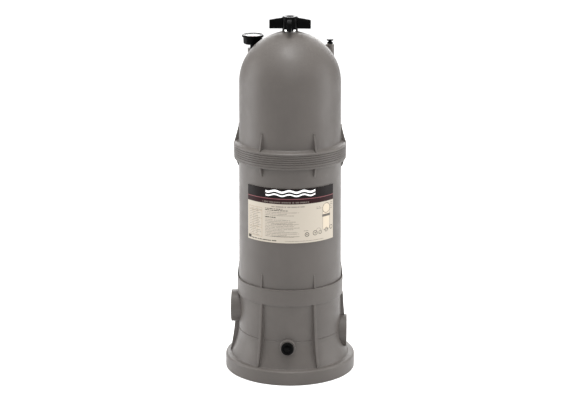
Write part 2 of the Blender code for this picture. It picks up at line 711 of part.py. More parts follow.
def fitting_bore(name, radius, length, top, angle):
    """A fitting's thread bore, and the pressure way from its foot through the dome's wall."""
    foot = top - length - BORE_EXTRA
    x, y, _ = fitting_place(angle)
    bore = rod(f"{name}_bore", radius, foot, top + OVERRUN, sides=SMALL_SIDES, place=(x, y, 0))
    way = rod(f"{name}_way", PRESSURE_WAY, DOME_INNER - 5 * WALL, FITTING_RADIUS, sides=8,
              place=(0, 0, foot + PRESSURE_WAY + 0.001), turn=(pi / 2, 0, radians(angle)))
    return bore, way


def make_head():
    head = turned("filter_head", head_outer(), HOUSING)
    root = HEAD_RADIUS - WALL / 2
    gussets = fins("head_gussets", [
        (root, COLLAR_TOP + HEAD_GUSSET),
        (HEAD_RADIUS - 0.0006, COLLAR_TOP + HEAD_GUSSET),
        (COLLAR_RADIUS - 0.0010, COLLAR_TOP + 0.002),
        (COLLAR_RADIUS - 0.0010, COLLAR_TOP - 0.003),
        (root, COLLAR_TOP - 0.003),
    ], GUSSET_WALL, RIB_ANGLES)
    posts = fins("crown_posts", [
        (POST_INNER, DOME_TOP + POST_TOP),
        (POST_OUTER, DOME_TOP + POST_TOP),
        (POST_OUTER, DOME_TOP - WALL),
        (POST_INNER, DOME_TOP - WALL),
    ], POST_WIDTH, (0, 90, 180, 270))
    join(
        head,
        gussets,
        posts,
        fitting_boss("gauge_boss", GAUGE_BOSS_RADIUS, GAUGE_BOSS_Z, GAUGE_ANGLE),
        fitting_boss("valve_boss", VALVE_BOSS_RADIUS, VALVE_BOSS_Z, VALVE_ANGLE),
    )
    seal_seat = CROWN_PAD - ROD_SEAL_SEAT
    rod_way = turned("rod_way", [
        (0, DOME_TOP + OVERRUN),
        (ROD_SEAL_RADIUS, DOME_TOP + OVERRUN),
        (ROD_SEAL_RADIUS, seal_seat),
        (ROD_RADIUS + ROD_CLEARANCE, seal_seat),
        (ROD_RADIUS + ROD_CLEARANCE, DOME_TOP - CROWN_WALL - OVERRUN),
        (0, DOME_TOP - CROWN_WALL - OVERRUN),
    ], sides=SMALL_SIDES)
    cut(head, turned("head_cavity", head_cavity()))
    drill(
        head,
        rod_way,
        *fitting_bore("gauge", STEM_RADIUS + GAP, STEM_LENGTH, GAUGE_BOSS_Z, GAUGE_ANGLE),
        *fitting_bore("valve", SEAT_RADIUS + GAP, SEAT_LENGTH, VALVE_BOSS_Z, VALVE_ANGLE),
    )
    seal_inner = ROD_RADIUS + GAP
    seal_thickness = ROD_SEAL_RADIUS - GAP - seal_inner
    seal_ring("rod_seal", seal_inner + seal_thickness / 2, seal_thickness, seal_seat + GAP + seal_thickness / 2,
              DARK_RUBBER, SMALL_SIDES)


def make_gauge():
    where = {"place": fitting_place(GAUGE_ANGLE)}
    rim = GAUGE_RIM_Z
    inside = GAUGE_RADIUS - CASE_WALL
    turned("gauge_stem", [
        (0, GAUGE_CASE_Z - GAP),
        (STEM_HEX, GAUGE_CASE_Z - GAP),
        (STEM_HEX, GAUGE_BOSS_Z + GAP),
        (STEM_RADIUS, GAUGE_BOSS_Z + GAP),
        (STEM_RADIUS, GAUGE_BOSS_Z - STEM_LENGTH),
        (0, GAUGE_BOSS_Z - STEM_LENGTH),
    ], BLACK_PLASTIC, 12, **where)
    turned("gauge_case", [
        (0, GAUGE_CASE_Z + CASE_FLOOR),
        (inside - CASE_CORNER, GAUGE_CASE_Z + CASE_FLOOR),
        (inside, GAUGE_CASE_Z + 0.0065),
        (inside, rim),
        (GAUGE_RADIUS, rim),
        (GAUGE_RADIUS, GAUGE_CASE_Z + 0.0050),
        (GAUGE_RADIUS - CASE_CORNER, GAUGE_CASE_Z),
        (0, GAUGE_CASE_Z),
    ], BLACK_PLASTIC, PORT_SIDES, **where)
    ring("gauge_dial", DIAL_HOLE, inside - GAP, rim - DIAL_DROP - DIAL_THICKNESS, rim - DIAL_DROP, DIAL_WHITE,
         PORT_SIDES, **where)
    rod("gauge_lens", GAUGE_RADIUS - 0.0001, rim + GAP, rim + GAP + LENS_THICKNESS, CLEAR, PORT_SIDES, **where)
    lens_top = rim + 2 * GAP + LENS_THICKNESS
    shell = GAUGE_RADIUS + GAP
    lip = GAUGE_RADIUS - BEZEL_LIP
    turned("gauge_bezel", [
        (lip, lens_top + BEZEL_RISE),
        (shell + BEZEL_WALL - 0.0010, lens_top + BEZEL_RISE),
        (shell + BEZEL_WALL, lens_top + BEZEL_RISE / 2),
        (shell + BEZEL_WALL, rim - BEZEL_SKIRT),
        (shell, rim - BEZEL_SKIRT),
        (shell, lens_top),
        (lip, lens_top),
    ], BLACK_PLASTIC, PORT_SIDES, closed=True, **where)
    make_movement(rim)
    make_needle(rim)


def make_movement(rim):
    """The curved pressure tube that unrolls as the pressure rises."""
    curve = bpy.data.curves.new("gauge_movement", "CURVE")
    curve.dimensions = "3D"
    curve.bevel_depth = TUBE_RADIUS
    curve.bevel_resolution = 1
    curve.use_fill_caps = True
    spline = curve.splines.new("POLY")
    steps = 14
    spline.points.add(steps - 1)
    for i, point in enumerate(spline.points):
        a = radians(TUBE_ANGLE * i / (steps - 1))
        point.co = (TUBE_BEND * cos(a), TUBE_BEND * sin(a), 0, 1)
    obj = bpy.data.objects.new("gauge_movement", curve)
    PARTS.objects.link(obj)
    curve.materials.append(principled("gauge_movement", BRASS))
    x, y, _ = fitting_place(GAUGE_ANGLE)
    obj.location = (x, y, rim - TUBE_DROP)


def make_needle(rim):
    where = {"place": fitting_place(GAUGE_ANGLE)}
    needle = turned("gauge_needle", [
        (0, rim - 0.0004),
        (NEEDLE_HUB, rim - 0.0004),
        (NEEDLE_HUB, rim - 0.0016),
        (NEEDLE_SPINDLE, rim - 0.0016),
        (NEEDLE_SPINDLE, rim - 0.0060),
        (0, rim - 0.0060),
    ], NEEDLE_RED, 12, **where)
    tail, tip, half = 0.007, 0.019, 0.0011
    outline = [(-tail, -half), (0, -half), (tip, -half / 4), (tip, half / 4), (0, half), (-tail, half)]
    pointer = add("pointer", outline_mesh([outline], 0.0006), None)
    x, y, _ = fitting_place(GAUGE_ANGLE)
    pointer.location = (x, y, rim - 0.0010)
    pointer.rotation_euler = (0, 0, radians(NEEDLE_REST))
    join(needle, pointer)


def make_relief_valve():
    where = {"place": fitting_place(VALVE_ANGLE)}
    seat_top = VALVE_BOSS_Z - 0.0005
    turned("relief_seat", [
        (SCREW_RADIUS + GAP, seat_top),
        (SEAT_RADIUS, seat_top),
        (SEAT_RADIUS, VALVE_BOSS_Z - SEAT_LENGTH),
        (SCREW_RADIUS + GAP, VALVE_BOSS_Z - SEAT_LENGTH),
    ], BRASS, SMALL_SIDES, closed=True, **where)
    under = VALVE_BOSS_Z + SEAL_THICKNESS + 2 * GAP
    top = under + SPOOL_HEIGHT
    turned("relief_screw", [
        (0, top),
        (SPOOL_RADIUS - 0.001, top),
        (SPOOL_RADIUS, top - 0.001),
        (SPOOL_RADIUS, top - 0.0035),
        (SPOOL_RADIUS - SPOOL_WAIST, top - 0.0040),
        (SPOOL_RADIUS - SPOOL_WAIST, under + 0.0030),
        (SPOOL_RADIUS - 0.0010, under + 0.0025),
        (SPOOL_RADIUS - 0.0010, under),
        (SCREW_RADIUS, under),
        (SCREW_RADIUS, VALVE_BOSS_Z - 0.020),
        (0, VALVE_BOSS_Z - 0.024),
    ], BLACK_PLASTIC, SMALL_SIDES, **where)
    ring("relief_seal", SCREW_RADIUS + GAP, SPOOL_RADIUS - 0.0015, VALVE_BOSS_Z + GAP,
         VALVE_BOSS_Z + GAP + SEAL_THICKNESS, DARK_RUBBER, SMALL_SIDES, **where)


# ---- lock knob -----------------------------------------------------------------------------------------


def make_knob():
    top = KNOB_Z + HUB_HEIGHT
    sleeve_bottom = WASHER_BOTTOM + WASHER_THICKNESS + GAP
    knob = turned("lock_knob", [
        (0, top - 0.0022),
        (HUB_RADIUS - 0.0065, top - 0.0018),
        (HUB_RADIUS - 0.0040, top),
        (HUB_RADIUS - 0.0015, top - 0.002),
        (HUB_RADIUS, KNOB_Z + 0.002),
        (HUB_RADIUS, KNOB_Z),
        (SLEEVE_RADIUS, KNOB_Z),
        (SLEEVE_RADIUS, sleeve_bottom),
        (0, sleeve_bottom),
    ], BLACK_PLASTIC, PORT_SIDES)
    tip = WING_REACH
    foot = KNOB_Z + 0.0009
    wings = fins("knob_wings", [
        (WING_ROOT, KNOB_Z + 0.001),
        (tip - 0.006, foot),
        (tip, foot + 0.002),
        (tip, foot + WING_HEIGHT - 0.002),
        (tip - 0.003, foot + WING_HEIGHT),
        (HUB_RADIUS + 0.001, top - 0.003),
        (WING_ROOT, top - 0.003),
    ], WING_WALL, (0, 90, 180, 270))
    join(knob, wings)
    bore = ROD_RADIUS + ROD_CLEARANCE
    insert_bottom = KNOB_Z + INSERT_LIFT
    insert_top = ROD_TOP + 0.002
    cut(knob, turned("knob_cavity", [
        (0, insert_top + GAP),
        (INSERT_RADIUS + GAP, insert_top + GAP),
        (INSERT_RADIUS + GAP, insert_bottom),
        (bore, insert_bottom),
        (bore, sleeve_bottom - OVERRUN),
        (0, sleeve_bottom - OVERRUN),
    ], sides=SMALL_SIDES))
    ring("knob_insert", ROD_RADIUS + GAP, INSERT_RADIUS, insert_bottom + GAP, insert_top, BRASS, SMALL_SIDES)
    ring("knob_washer", ROD_RADIUS + ROD_CLEARANCE, POST_INNER - 0.0015, WASHER_BOTTOM,
         WASHER_BOTTOM + WASHER_THICKNESS, STAINLESS, SMALL_SIDES)


# ---- outlet manifold and inlet diffuser ----------------------------------------------------------------


def make_manifold():
    """The standpipe that carries the element, with a tail pipe into the outlet port."""
    foot = FLOOR_Z + GAP
    inner = STANDPIPE_RADIUS - STANDPIPE_WALL
    spigot = CAP_HOLE - SLIDE
    top = SEAT_Z + SEAT_FLANGE + SEAT_SPIGOT
    anchor_way = ANCHOR_BOSS_RADIUS + GAP
    manifold = turned("outlet_manifold", [
        (spigot - 0.005, top),
        (spigot - 0.001, top),
        (spigot, top - 0.002),
        (spigot, SEAT_Z + SEAT_FLANGE),
        (SEAT_FLANGE_RADIUS, SEAT_Z + SEAT_FLANGE),
        (SEAT_FLANGE_RADIUS, SEAT_Z),
        (STANDPIPE_RADIUS, SEAT_Z - 0.012),
        (STANDPIPE_RADIUS, foot),
        (anchor_way, foot),
        (anchor_way, foot + STANDPIPE_FLOOR),
        (inner, foot + STANDPIPE_FLOOR),
        (inner, SEAT_Z - 0.010),
    ], WHITE_PLASTIC, PORT_SIDES, closed=True)
    where = {"place": (0, 0, OUTLET_Z), "turn": TO_RIGHT}
    tail_end = TANK_INNER - STUB + TAIL_REACH
    tail = rod("tail_outer", TAIL_RADIUS, (inner + STANDPIPE_RADIUS) / 2 - 0.006, tail_end,
               sides=PORT_SIDES, **where)
    join(manifold, tail)
    cut(manifold, rod("tail_bore", TAIL_RADIUS - TAIL_WALL, 0.018, tail_end + OVERRUN,
                      sides=PORT_SIDES, **where))
    thickness = PORT_BORE - TAIL_RADIUS - 2 * GAP - 0.0002
    seal_ring("outlet_seal", TAIL_RADIUS + GAP + thickness / 2, thickness, tail_end - TAIL_SEAL,
              DARK_RUBBER, PORT_SIDES, **where)


def make_diffuser():
    """A closed-ended tube inside the inlet that turns the water up and down, away from the element."""
    where = {"place": (0, 0, INLET_Z), "turn": TO_LEFT}
    end = STANDPIPE_RADIUS + DIFFUSER_GAP
    mouth = TANK_INNER - STUB + DIFFUSER_REACH
    outer = PORT_BORE - GAP - 0.0004
    inner = outer - DIFFUSER_WALL
    diffuser = turned("inlet_diffuser", [
        (0, end + DIFFUSER_WALL),
        (inner, end + DIFFUSER_WALL),
        (inner, mouth),
        (outer, mouth),
        (outer, end + 0.002),
        (outer - 0.002, end),
        (0, end),
    ], WHITE_PLASTIC, PORT_SIDES, **where)
    length = TANK_INNER - STUB - end - 2 * DIFFUSER_RIM
    window = block("diffuser_window", (length, 2 * inner * WINDOW_SHARE, 4 * outer),
                   (-(end + DIFFUSER_RIM + length / 2), 0, INLET_Z))
    cut(diffuser, window)


# ---- filter element ------------------------------------------------------------------------------------


def element_cap(name, bottom):
    top = bottom + CAP_HEIGHT
    turned(name, [
        (CAP_HOLE, top),
        (ELEMENT_RADIUS - EDGE, top),
        (ELEMENT_RADIUS, top - EDGE),
        (ELEMENT_RADIUS, bottom + EDGE),
        (ELEMENT_RADIUS - EDGE, bottom),
        (CAP_HOLE, bottom),
    ], BLUE_CAP, closed=True)


def pleat_loop(outer, inner):
    """A zigzag round the axis: one outer and one inner fold for each pleat."""
    folds = [(outer if i % 2 == 0 else inner, tau * i / (2 * PLEATS)) for i in range(2 * PLEATS)]
    return [(r * cos(a), r * sin(a)) for r, a in folds]


def make_element():
    element_cap("element_bottom_cap", ELEMENT_BOTTOM)
    element_cap("element_top_cap", ELEMENT_TOP - CAP_HEIGHT)
    bottom = ELEMENT_BOTTOM + CAP_HEIGHT + GAP
    top = ELEMENT_TOP - CAP_HEIGHT - GAP
    fold = ELEMENT_RADIUS - 0.0005
    back = fold - PLEAT_SHARE
    loops = [pleat_loop(fold, fold - PLEAT_DEPTH), pleat_loop(back, back - PLEAT_DEPTH)]
    pleats = add("element_pleats", outline_mesh(loops, top - bottom), MEDIA)
    pleats.location = (0, 0, (top + bottom) / 2)
    for i in range(BANDS):
        height = bottom + (top - bottom) * (i + 1) / (BANDS + 1)
        ring(f"element_band_{i + 1}", fold + GAP, fold + GAP + BAND_THICKNESS, height - BAND_HALF,
             height + BAND_HALF, MEDIA)
    plug_bottom = ELEMENT_TOP - CAP_HEIGHT - RETAINER_PLUG
    make_core(plug_bottom - GAP)
    (hub, hub_rise), (hub_foot, flange_rise) = RETAINER_HUB
    turned("element_retainer", [
        (ROD_RADIUS + ROD_CLEARANCE, ELEMENT_TOP + hub_rise),
        (hub, ELEMENT_TOP + hub_rise),
        (hub_foot, ELEMENT_TOP + flange_rise),
        (CAP_HOLE + RETAINER_FLANGE, ELEMENT_TOP + flange_rise),
        (CAP_HOLE + RETAINER_FLANGE, ELEMENT_TOP + GAP),
        (CAP_HOLE - GAP, ELEMENT_TOP + GAP),
        (CAP_HOLE - GAP, plug_bottom),
        (ROD_RADIUS + ROD_CLEARANCE, plug_bottom),
    ], WHITE_PLASTIC, PORT_SIDES, closed=True)


def make_core(top):
    """The slotted tube that the pleats are held off by; its slots let the clean water through."""
    outer = CAP_HOLE - 0.0008
    bottom = SEAT_Z + SEAT_FLANGE + SEAT_SPIGOT + 0.001
    core = ring("element_core", outer - CORE_WALL, outer, bottom, top, WHITE_PLASTIC, PORT_SIDES)
    near, far = outer - 2 * CORE_WALL, outer + CORE_WALL
    pitch = (top - bottom - CORE_EDGE) / CORE_ROWS
    slots = [
        fins(f"core_slots_{row + 1}", [
            (near, bottom + CORE_EDGE + pitch * row),
            (far, bottom + CORE_EDGE + pitch * row),
            (far, bottom + pitch * (row + 1)),
            (near, bottom + pitch * (row + 1)),
        ], CORE_EDGE, RIB_ANGLES)
        for row in range(CORE_ROWS)
    ]
    cut(core, *slots)


clear_scene()
PARTS = new_collection("Cartridge filter housing")
CUTTERS = new_collection("Cutters")
make_base()
make_tie_rod()
make_drain()
make_tank()
make_label()
make_head()
make_gauge()
make_relief_valve()
make_knob()
make_manifold()
make_diffuser()
make_element()
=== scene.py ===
"""Upright cartridge filter for a pool or spa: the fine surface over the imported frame.

Metres, z up, the vessel's axis on the z axis and its front towards -y. Every piece is modelled at its own
place and rides on a body of the frame. All but the dial's print stand there for a plain node.
"""

import json
from math import atan2, cos, degrees, hypot, pi, radians, sin, tau

import bmesh
import bpy
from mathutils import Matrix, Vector


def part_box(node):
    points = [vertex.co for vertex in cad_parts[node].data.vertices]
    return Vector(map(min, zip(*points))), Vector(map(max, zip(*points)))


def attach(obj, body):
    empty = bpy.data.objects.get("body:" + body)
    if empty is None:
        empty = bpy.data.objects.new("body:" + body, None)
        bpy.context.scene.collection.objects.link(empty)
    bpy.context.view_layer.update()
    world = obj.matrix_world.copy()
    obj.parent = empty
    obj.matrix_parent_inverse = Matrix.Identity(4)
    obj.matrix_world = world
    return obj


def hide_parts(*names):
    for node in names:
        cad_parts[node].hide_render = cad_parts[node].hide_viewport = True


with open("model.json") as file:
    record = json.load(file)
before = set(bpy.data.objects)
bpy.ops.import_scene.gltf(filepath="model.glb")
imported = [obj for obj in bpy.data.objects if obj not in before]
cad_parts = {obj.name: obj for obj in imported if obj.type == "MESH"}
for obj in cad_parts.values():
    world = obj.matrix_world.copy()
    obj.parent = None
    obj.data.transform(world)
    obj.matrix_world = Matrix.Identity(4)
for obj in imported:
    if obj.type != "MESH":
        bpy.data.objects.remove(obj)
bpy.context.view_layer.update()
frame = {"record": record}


def box(node):
    """The lowest and the highest corner of a plain node."""
    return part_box(node)


def middle(node):
    low, high = box(node)
    return (low + high) / 2


def mount(name):
    return Vector(next(m["pos_m"] for m in frame["record"]["mounts"] if m["name"] == name))


# ---- the frame's own measures ------------------------------------------------------------------------------

GAP = 0.0003                                   # between pieces that touch
BAND_TOP = box("filter_base")[1].z
FLANGE_RADIUS = box("filter_base")[1].y
INLET_Z = middle("inlet_diffuser").z
OUTLET_Z = middle("outlet_seal").z
INLET_FACE = -mount("inlet_face").x
OUTLET_FACE = mount("outlet_face").x
DRAIN_Z = middle("drain_plug").z
DRAIN_FACE = -box("drain_seal")[1].y - GAP
SPIGOT_TOP = box("tank_body")[1].z
COLLAR_BOTTOM = box("filter_head")[0].z
COLLAR_RADIUS = box("filter_head")[1].x
RIM_TOP = COLLAR_BOTTOM - GAP
POST_TOP = box("filter_head")[1].z
GAUGE = middle("gauge_stem")
GAUGE_CASE_Z = box("gauge_case")[0].z
GAUGE_BOSS_Z = GAUGE_CASE_Z - 0.0108           # the gauge's boss, below its neck
GAUGE_RIM = box("gauge_case")[1].z
VALVE = middle("relief_screw")
VALVE_BOSS_Z = box("relief_seal")[0].z - GAP
ROD_TOP = box("tie_rod")[1].z
ROD_BOTTOM = box("tie_rod")[0].z
ROD_RADIUS = box("tie_rod")[1].x
ROD_WAY = ROD_RADIUS + 0.0006                  # a bore that the rod runs through
KNOB_TOP = box("lock_knob")[1].z
WING_REACH = box("lock_knob")[1].x

# ---- measures of the fine shapes ---------------------------------------------------------------------------

WALL = 0.008
EDGE = 0.0016                                  # bevel of the knob's arms
FINE = 144                                     # sides of the vessel's turned shells
ROUND = 48                                     # sides of the fittings
TANK_RADIUS = 0.1358
TANK_INNER = TANK_RADIUS - WALL - 0.0008
BAND_RADIUS = TANK_RADIUS + 0.0048
BAND_BOTTOM = BAND_TOP - 0.044
SOCKET_FLOOR = BAND_TOP - 0.036                # where the tank's foot stands in the band
SKIRT_TOP = TANK_RADIUS - 0.0013               # skirt radius under the band
CREASE = SKIRT_TOP + 0.0025                    # skirt radius where the flare begins
CREASE_Z = 0.109
LEDGE_Z = 0.038
FLARE = 0.019
FOOT_RADIUS = CREASE + FLARE
FLOOR_Z = 0.050
PORT_RADIUS = 0.043
PORT_BORE = 0.0296
RIM_Z = RIM_TOP - 0.006
SPIGOT_RADIUS = TANK_RADIUS + 0.0056
SEAL_DEPTH = 0.0048                            # of the groove round the spigot
SEAL_HALF = 0.0028                             # half its height
COLLAR_BORE = SPIGOT_RADIUS + 0.0006
HEAD_RADIUS = TANK_RADIUS - 0.0024
COLLAR_TOP = SPIGOT_TOP + 0.014
DOME_Z = COLLAR_TOP + 0.157
DOME_RADIUS = HEAD_RADIUS - 0.0011
DOME_TOP = DOME_Z + DOME_RADIUS
KNOB_PITCH = 0.00195                           # of the rod's thread
DRAIN_PITCH = 0.0018
VALVE_PITCH = 0.00125
NEEDLE_START = 225                             # where the dial's scale begins, round from +x
NEEDLE_SWEEP = 270
RIB_ANGLES = (30, 90, 150, 210, 270, 330)      # round from the front towards +x


# ---- hand tools --------------------------------------------------------------------------------------------


def put_down_all():
    bpy.ops.object.select_all(action="DESELECT")


def take(*pieces):
    """Selects these pieces only; the first becomes the active one."""
    put_down_all()
    for piece in pieces:
        piece.select_set(True)
    bpy.context.view_layer.objects.active = pieces[0]


def edit(piece):
    take(piece)
    bpy.ops.object.mode_set(mode="EDIT")
    bpy.ops.mesh.select_mode(type="VERT")


def leave():
    bpy.ops.object.mode_set(mode="OBJECT")


def pick(kind, test):
    """In edit mode, selects the vertices, edges or faces that pass a test."""
    bpy.ops.mesh.select_mode(type=kind)
    bpy.ops.mesh.select_all(action="DESELECT")
    shape = bmesh.from_edit_mesh(bpy.context.object.data)
    items = {"VERT": shape.verts, "EDGE": shape.edges, "FACE": shape.faces}[kind]
    for item in items:
        if test(item):
            item.select_set(True)
    shape.select_flush_mode()
    bmesh.update_edit_mesh(bpy.context.object.data)


def face_out():
    bpy.ops.mesh.select_all(action="SELECT")
    bpy.ops.mesh.normals_make_consistent(inside=False)


def apply_place(piece):
    take(piece)
    bpy.ops.object.transform_apply(location=True, rotation=True, scale=True)


def place(piece, at=(0, 0, 0), turn=(0, 0, 0)):
    """Turns a piece about the origin, moves it, and puts that in its mesh."""
    piece.rotation_euler = turn
    piece.location = at
    apply_place(piece)
    return piece


def smooth(piece, angle=32):
    take(piece)
    bpy.ops.object.shade_smooth_by_angle(angle=radians(angle))
    return piece


def copy(piece):
    take(piece)
    bpy.ops.object.duplicate(linked=False)
    return bpy.context.object


def around(piece, angles):
    """Copies of a piece modelled at the front, turned to each angle; the first is turned itself."""
    made = [piece] + [copy(piece) for _ in angles[1:]]
    for each, angle in zip(made, angles):
        place(each, turn=(0, 0, radians(angle)))
    return made


def evenly(count, start=0.0):
    """That many angles spread all the way round."""
    return [start + 360 / count * k for k in range(count)]


def joined(*pieces):
    """One piece of several, which keeps the first one's name."""
    take(*pieces)
    bpy.ops.object.join()
    return bpy.context.object


def use(piece, kind, **settings):
    """Adds a modifier and applies it."""
    take(piece)
    modifier = piece.modifiers.new(kind.title(), kind)
    for name, value in settings.items():
        setattr(modifier, name, value)
    bpy.ops.object.modifier_apply(modifier=modifier.name)
    return piece


def combine(piece, *tools, operation="UNION"):
    """Joins tools to a piece, or cuts them from it, and clears the tools away."""
    for tool in tools:
        use(piece, "BOOLEAN", object=tool, operation=operation, solver="EXACT")
        bpy.data.objects.remove(tool, do_unlink=True)
    return piece


def cut(piece, *tools):
    return combine(piece, *tools, operation="DIFFERENCE")


def rounded(corners):
    """A profile whose corners (radius, height, rounding) are rounded off by that much."""
    made = []
    for i, corner in enumerate(corners):
        rounding = corner[2] if len(corner) > 2 else 0
        here = Vector(corner[:2])
        if not rounding:
            made.append(tuple(here))
            continue
        before = Vector(corners[i - 1][:2]) - here
        after = Vector(corners[(i + 1) % len(corners)][:2]) - here
        reach = min(rounding, before.length * 0.49, after.length * 0.49)
        start = here + before.normalized() * reach
        end = here + after.normalized() * reach
        steps = 4 if rounding < 0.004 else 7
        for k in range(steps + 1):
            t = k / steps
            made.append(tuple(start * (1 - t) ** 2 + here * (2 * t * (1 - t)) + end * t * t))
    return made


def start_ring(name, radius, height, sides):
    """A ring of edges round the z axis, left in edit mode with all of it selected."""
    put_down_all()
    bpy.ops.mesh.primitive_circle_add(vertices=sides, radius=radius, location=(0, 0, height))
    piece = bpy.context.object
    piece.name = piece.data.name = name
    apply_place(piece)
    bpy.ops.object.mode_set(mode="EDIT")
    bpy.ops.mesh.select_mode(type="VERT")
    bpy.ops.mesh.select_all(action="SELECT")
    return piece


def next_ring(here, there):
    """Extrudes the selected ring from one (radius, height) to the next."""
    bpy.ops.mesh.extrude_region_move(TRANSFORM_OT_translate={"value": (0, 0, there[1] - here[1])})
    grow = there[0] / here[0]
    bpy.ops.transform.resize(value=(grow, grow, 1), center_override=(0, 0, 0))


def close_on_axis(height_change):
    """Extrudes the selected ring and draws it together into a point on the axis."""
    bpy.ops.mesh.extrude_region_move(TRANSFORM_OT_translate={"value": (0, 0, height_change)})
    bpy.ops.mesh.merge(type="CENTER")


def turned(name, corners, sides=ROUND, at=(0, 0, 0), turn=(0, 0, 0)):
    """A turned solid. Its profile starts and ends on the axis, or else runs round a closed section."""
    profile = rounded(corners)
    solid_ends = profile[0][0] == 0
    rings = profile[1:-1] if solid_ends else profile
    piece = start_ring(name, *rings[0], sides)
    for here, there in zip(rings, rings[1:]):
        next_ring(here, there)
    if solid_ends:
        close_on_axis(profile[-1][1] - rings[-1][1])
        pick("VERT", lambda v: v.index < sides)
        close_on_axis(profile[0][1] - rings[0][1])
    else:
        next_ring(rings[-1], rings[0])
        bpy.ops.mesh.select_all(action="SELECT")
        bpy.ops.mesh.remove_doubles(threshold=0.000005)
    face_out()
    leave()
    return smooth(place(piece, at, turn))


def washer(name, edges, bore, radius, low, high, sides=ROUND, at=(0, 0, 0), turn=(0, 0, 0)):
    """A flat ring, its edges rounded by (inside, outside)."""
    inside, outside = edges
    return turned(name, [
        (bore, high, inside),
        (radius, high, outside),
        (radius, low, outside),
        (bore, low, inside),
    ], sides, at, turn)


def drawn(name, sections, smooth_angle=32):
    """A solid drawn out through its sections, each a loop of the same number of points."""
    piece = start_ring(name, 1, 0, len(sections[0]))
    for k, section in enumerate(sections):
        if k:
            bpy.ops.mesh.extrude_region_move(TRANSFORM_OT_translate={"value": (0, 0, 0)})
        shape = bmesh.from_edit_mesh(piece.data)
        ring = [v for v in shape.verts if v.select]
        for vertex, point in zip(sorted(ring, key=lambda v: v.index), section):
            vertex.co = point
        bmesh.update_edit_mesh(piece.data)
    count = len(sections[0])
    last = count * (len(sections) - 1)
    for first in (0, last):
        pick("VERT", lambda v, a=first: a <= v.index < a + count)
        bpy.ops.mesh.edge_face_add()
    face_out()
    leave()
    return smooth(piece, smooth_angle)


def web_section(height, inner, outer, half, flare, edge):
    """A level slice through a fin at the front: a flared root, two sides and a rounded edge."""
    side = [
        (half + flare, inner - 0.0012),
        (half + flare * 0.35, inner + flare * 0.22),
        (half + flare * 0.08, inner + flare * 0.55),
        (half, inner + flare),
        (half, max(outer - edge, inner + flare * 1.01)),
        (half - edge * 0.3, outer - edge * 0.3),
        (half - edge, outer),
    ]
    points = side + [(-x, r) for x, r in reversed(side)]
    return [Vector((x, -r, height)) for x, r in points]


def web(name, rows, half, flare=0.002, edge=0.001):
    """A fin at the front, from rows of (height, root radius, edge radius)."""
    return drawn(name, [web_section(*row, half, flare, edge) for row in rows])


def thread(name, radius, depth, pitch, low, high, inside=False, steps=36, at=(0, 0, 0), turn=(0, 0, 0)):
    """A thread ridge wound round the z axis, its foot sunk into the wall it stands on."""
    out = -depth if inside else depth
    sink = 0.0006 if inside else -0.0006
    turns = max(1, round((high - low) / pitch))
    piece = start_ring(name, 1, 0, 4)
    section = [(sink, -0.42), (out, -0.12), (out, 0.12), (sink, 0.42)]
    shape = bmesh.from_edit_mesh(piece.data)
    for vertex, (reach, rise) in zip(shape.verts, section):
        vertex.co = (radius + reach, 0, low + pitch * rise)
    bmesh.update_edit_mesh(piece.data)
    leave()
    use(piece, "SCREW", screw_offset=pitch, iterations=turns, steps=steps, render_steps=steps,
        use_smooth_shade=True)
    edit(piece)
    bpy.ops.mesh.select_all(action="SELECT")
    bpy.ops.mesh.fill_holes(sides=4)
    face_out()
    leave()
    return smooth(place(piece, at, turn), 40)


def o_ring(name, radius, half, height, sides=96, at=(0, 0, 0), turn=(0, 0, 0)):
    section = [(radius + half * cos(tau * k / 16), height - half * sin(tau * k / 16)) for k in range(16)]
    return turned(name, section, sides, at, turn)


def lettering(name, words, size, thickness, at, turn):
    """Raised figures, made a mesh and laid in place."""
    put_down_all()
    bpy.ops.object.text_add()
    piece = bpy.context.object
    piece.name = name
    piece.data.body = words
    piece.data.size = size
    piece.data.align_x = "CENTER"
    piece.data.align_y = "CENTER"
    piece.data.extrude = thickness / 2
    piece.data.resolution_u = 3
    bpy.ops.object.convert(target="MESH")
    return place(bpy.context.object, at, turn)


TO_LEFT = (0, -pi / 2, 0)
TO_RIGHT = (0, pi / 2, 0)
TO_FRONT = (pi / 2, 0, 0)


# ---- finishes ----------------------------------------------------------------------------------------------


def group(name, gives, **measures):
    """An empty node group that takes a place and these measures, and gives one value."""
    tree = bpy.data.node_groups.new(name, "ShaderNodeTree")
    tree.interface.new_socket("Place", in_out="INPUT", socket_type="NodeSocketVector")
    for measure, usual in measures.items():
        tree.interface.new_socket(measure, in_out="INPUT", socket_type="NodeSocketFloat").default_value = usual
    tree.interface.new_socket(gives, in_out="OUTPUT", socket_type="NodeSocketFloat")
    return tree, tree.nodes.new("NodeGroupInput").outputs, tree.nodes.new("NodeGroupOutput").inputs


def add_node(tree, kind, inputs=(), **settings):
    """A node with its settings; each input is a value or the output that feeds it."""
    node = tree.nodes.new(f"ShaderNode{kind}")
    for name, value in settings.items():
        setattr(node, name, value)
    for socket, value in dict(inputs).items():
        if isinstance(value, bpy.types.NodeSocket):
            tree.links.new(value, node.inputs[socket])
        else:
            node.inputs[socket].default_value = value
    return node


def math(tree, operation, *values, clamp=False):
    return add_node(tree, "Math", enumerate(values), operation=operation, use_clamp=clamp).outputs[0]


def blend(tree, share, first, second):
    node = add_node(tree, "Mix", {0: share, 6: first, 7: second}, data_type="RGBA")
    return node.outputs[2]


def spread(tree, value, low, high, to_low=0.0, to_high=1.0):
    """Maps a value from one range to another, and keeps it there."""
    inputs = {"Value": value, "From Min": low, "From Max": high, "To Min": to_low, "To Max": to_high}
    return add_node(tree, "MapRange", inputs).outputs[0]


def noise(tree, place, scale, detail, roughness=0.5, distortion=0.0, dimensions="3D"):
    inputs = {"Vector": place, "Scale": scale, "Detail": detail, "Roughness": roughness,
              "Distortion": distortion}
    return add_node(tree, "TexNoise", inputs, noise_dimensions=dimensions).outputs[0]


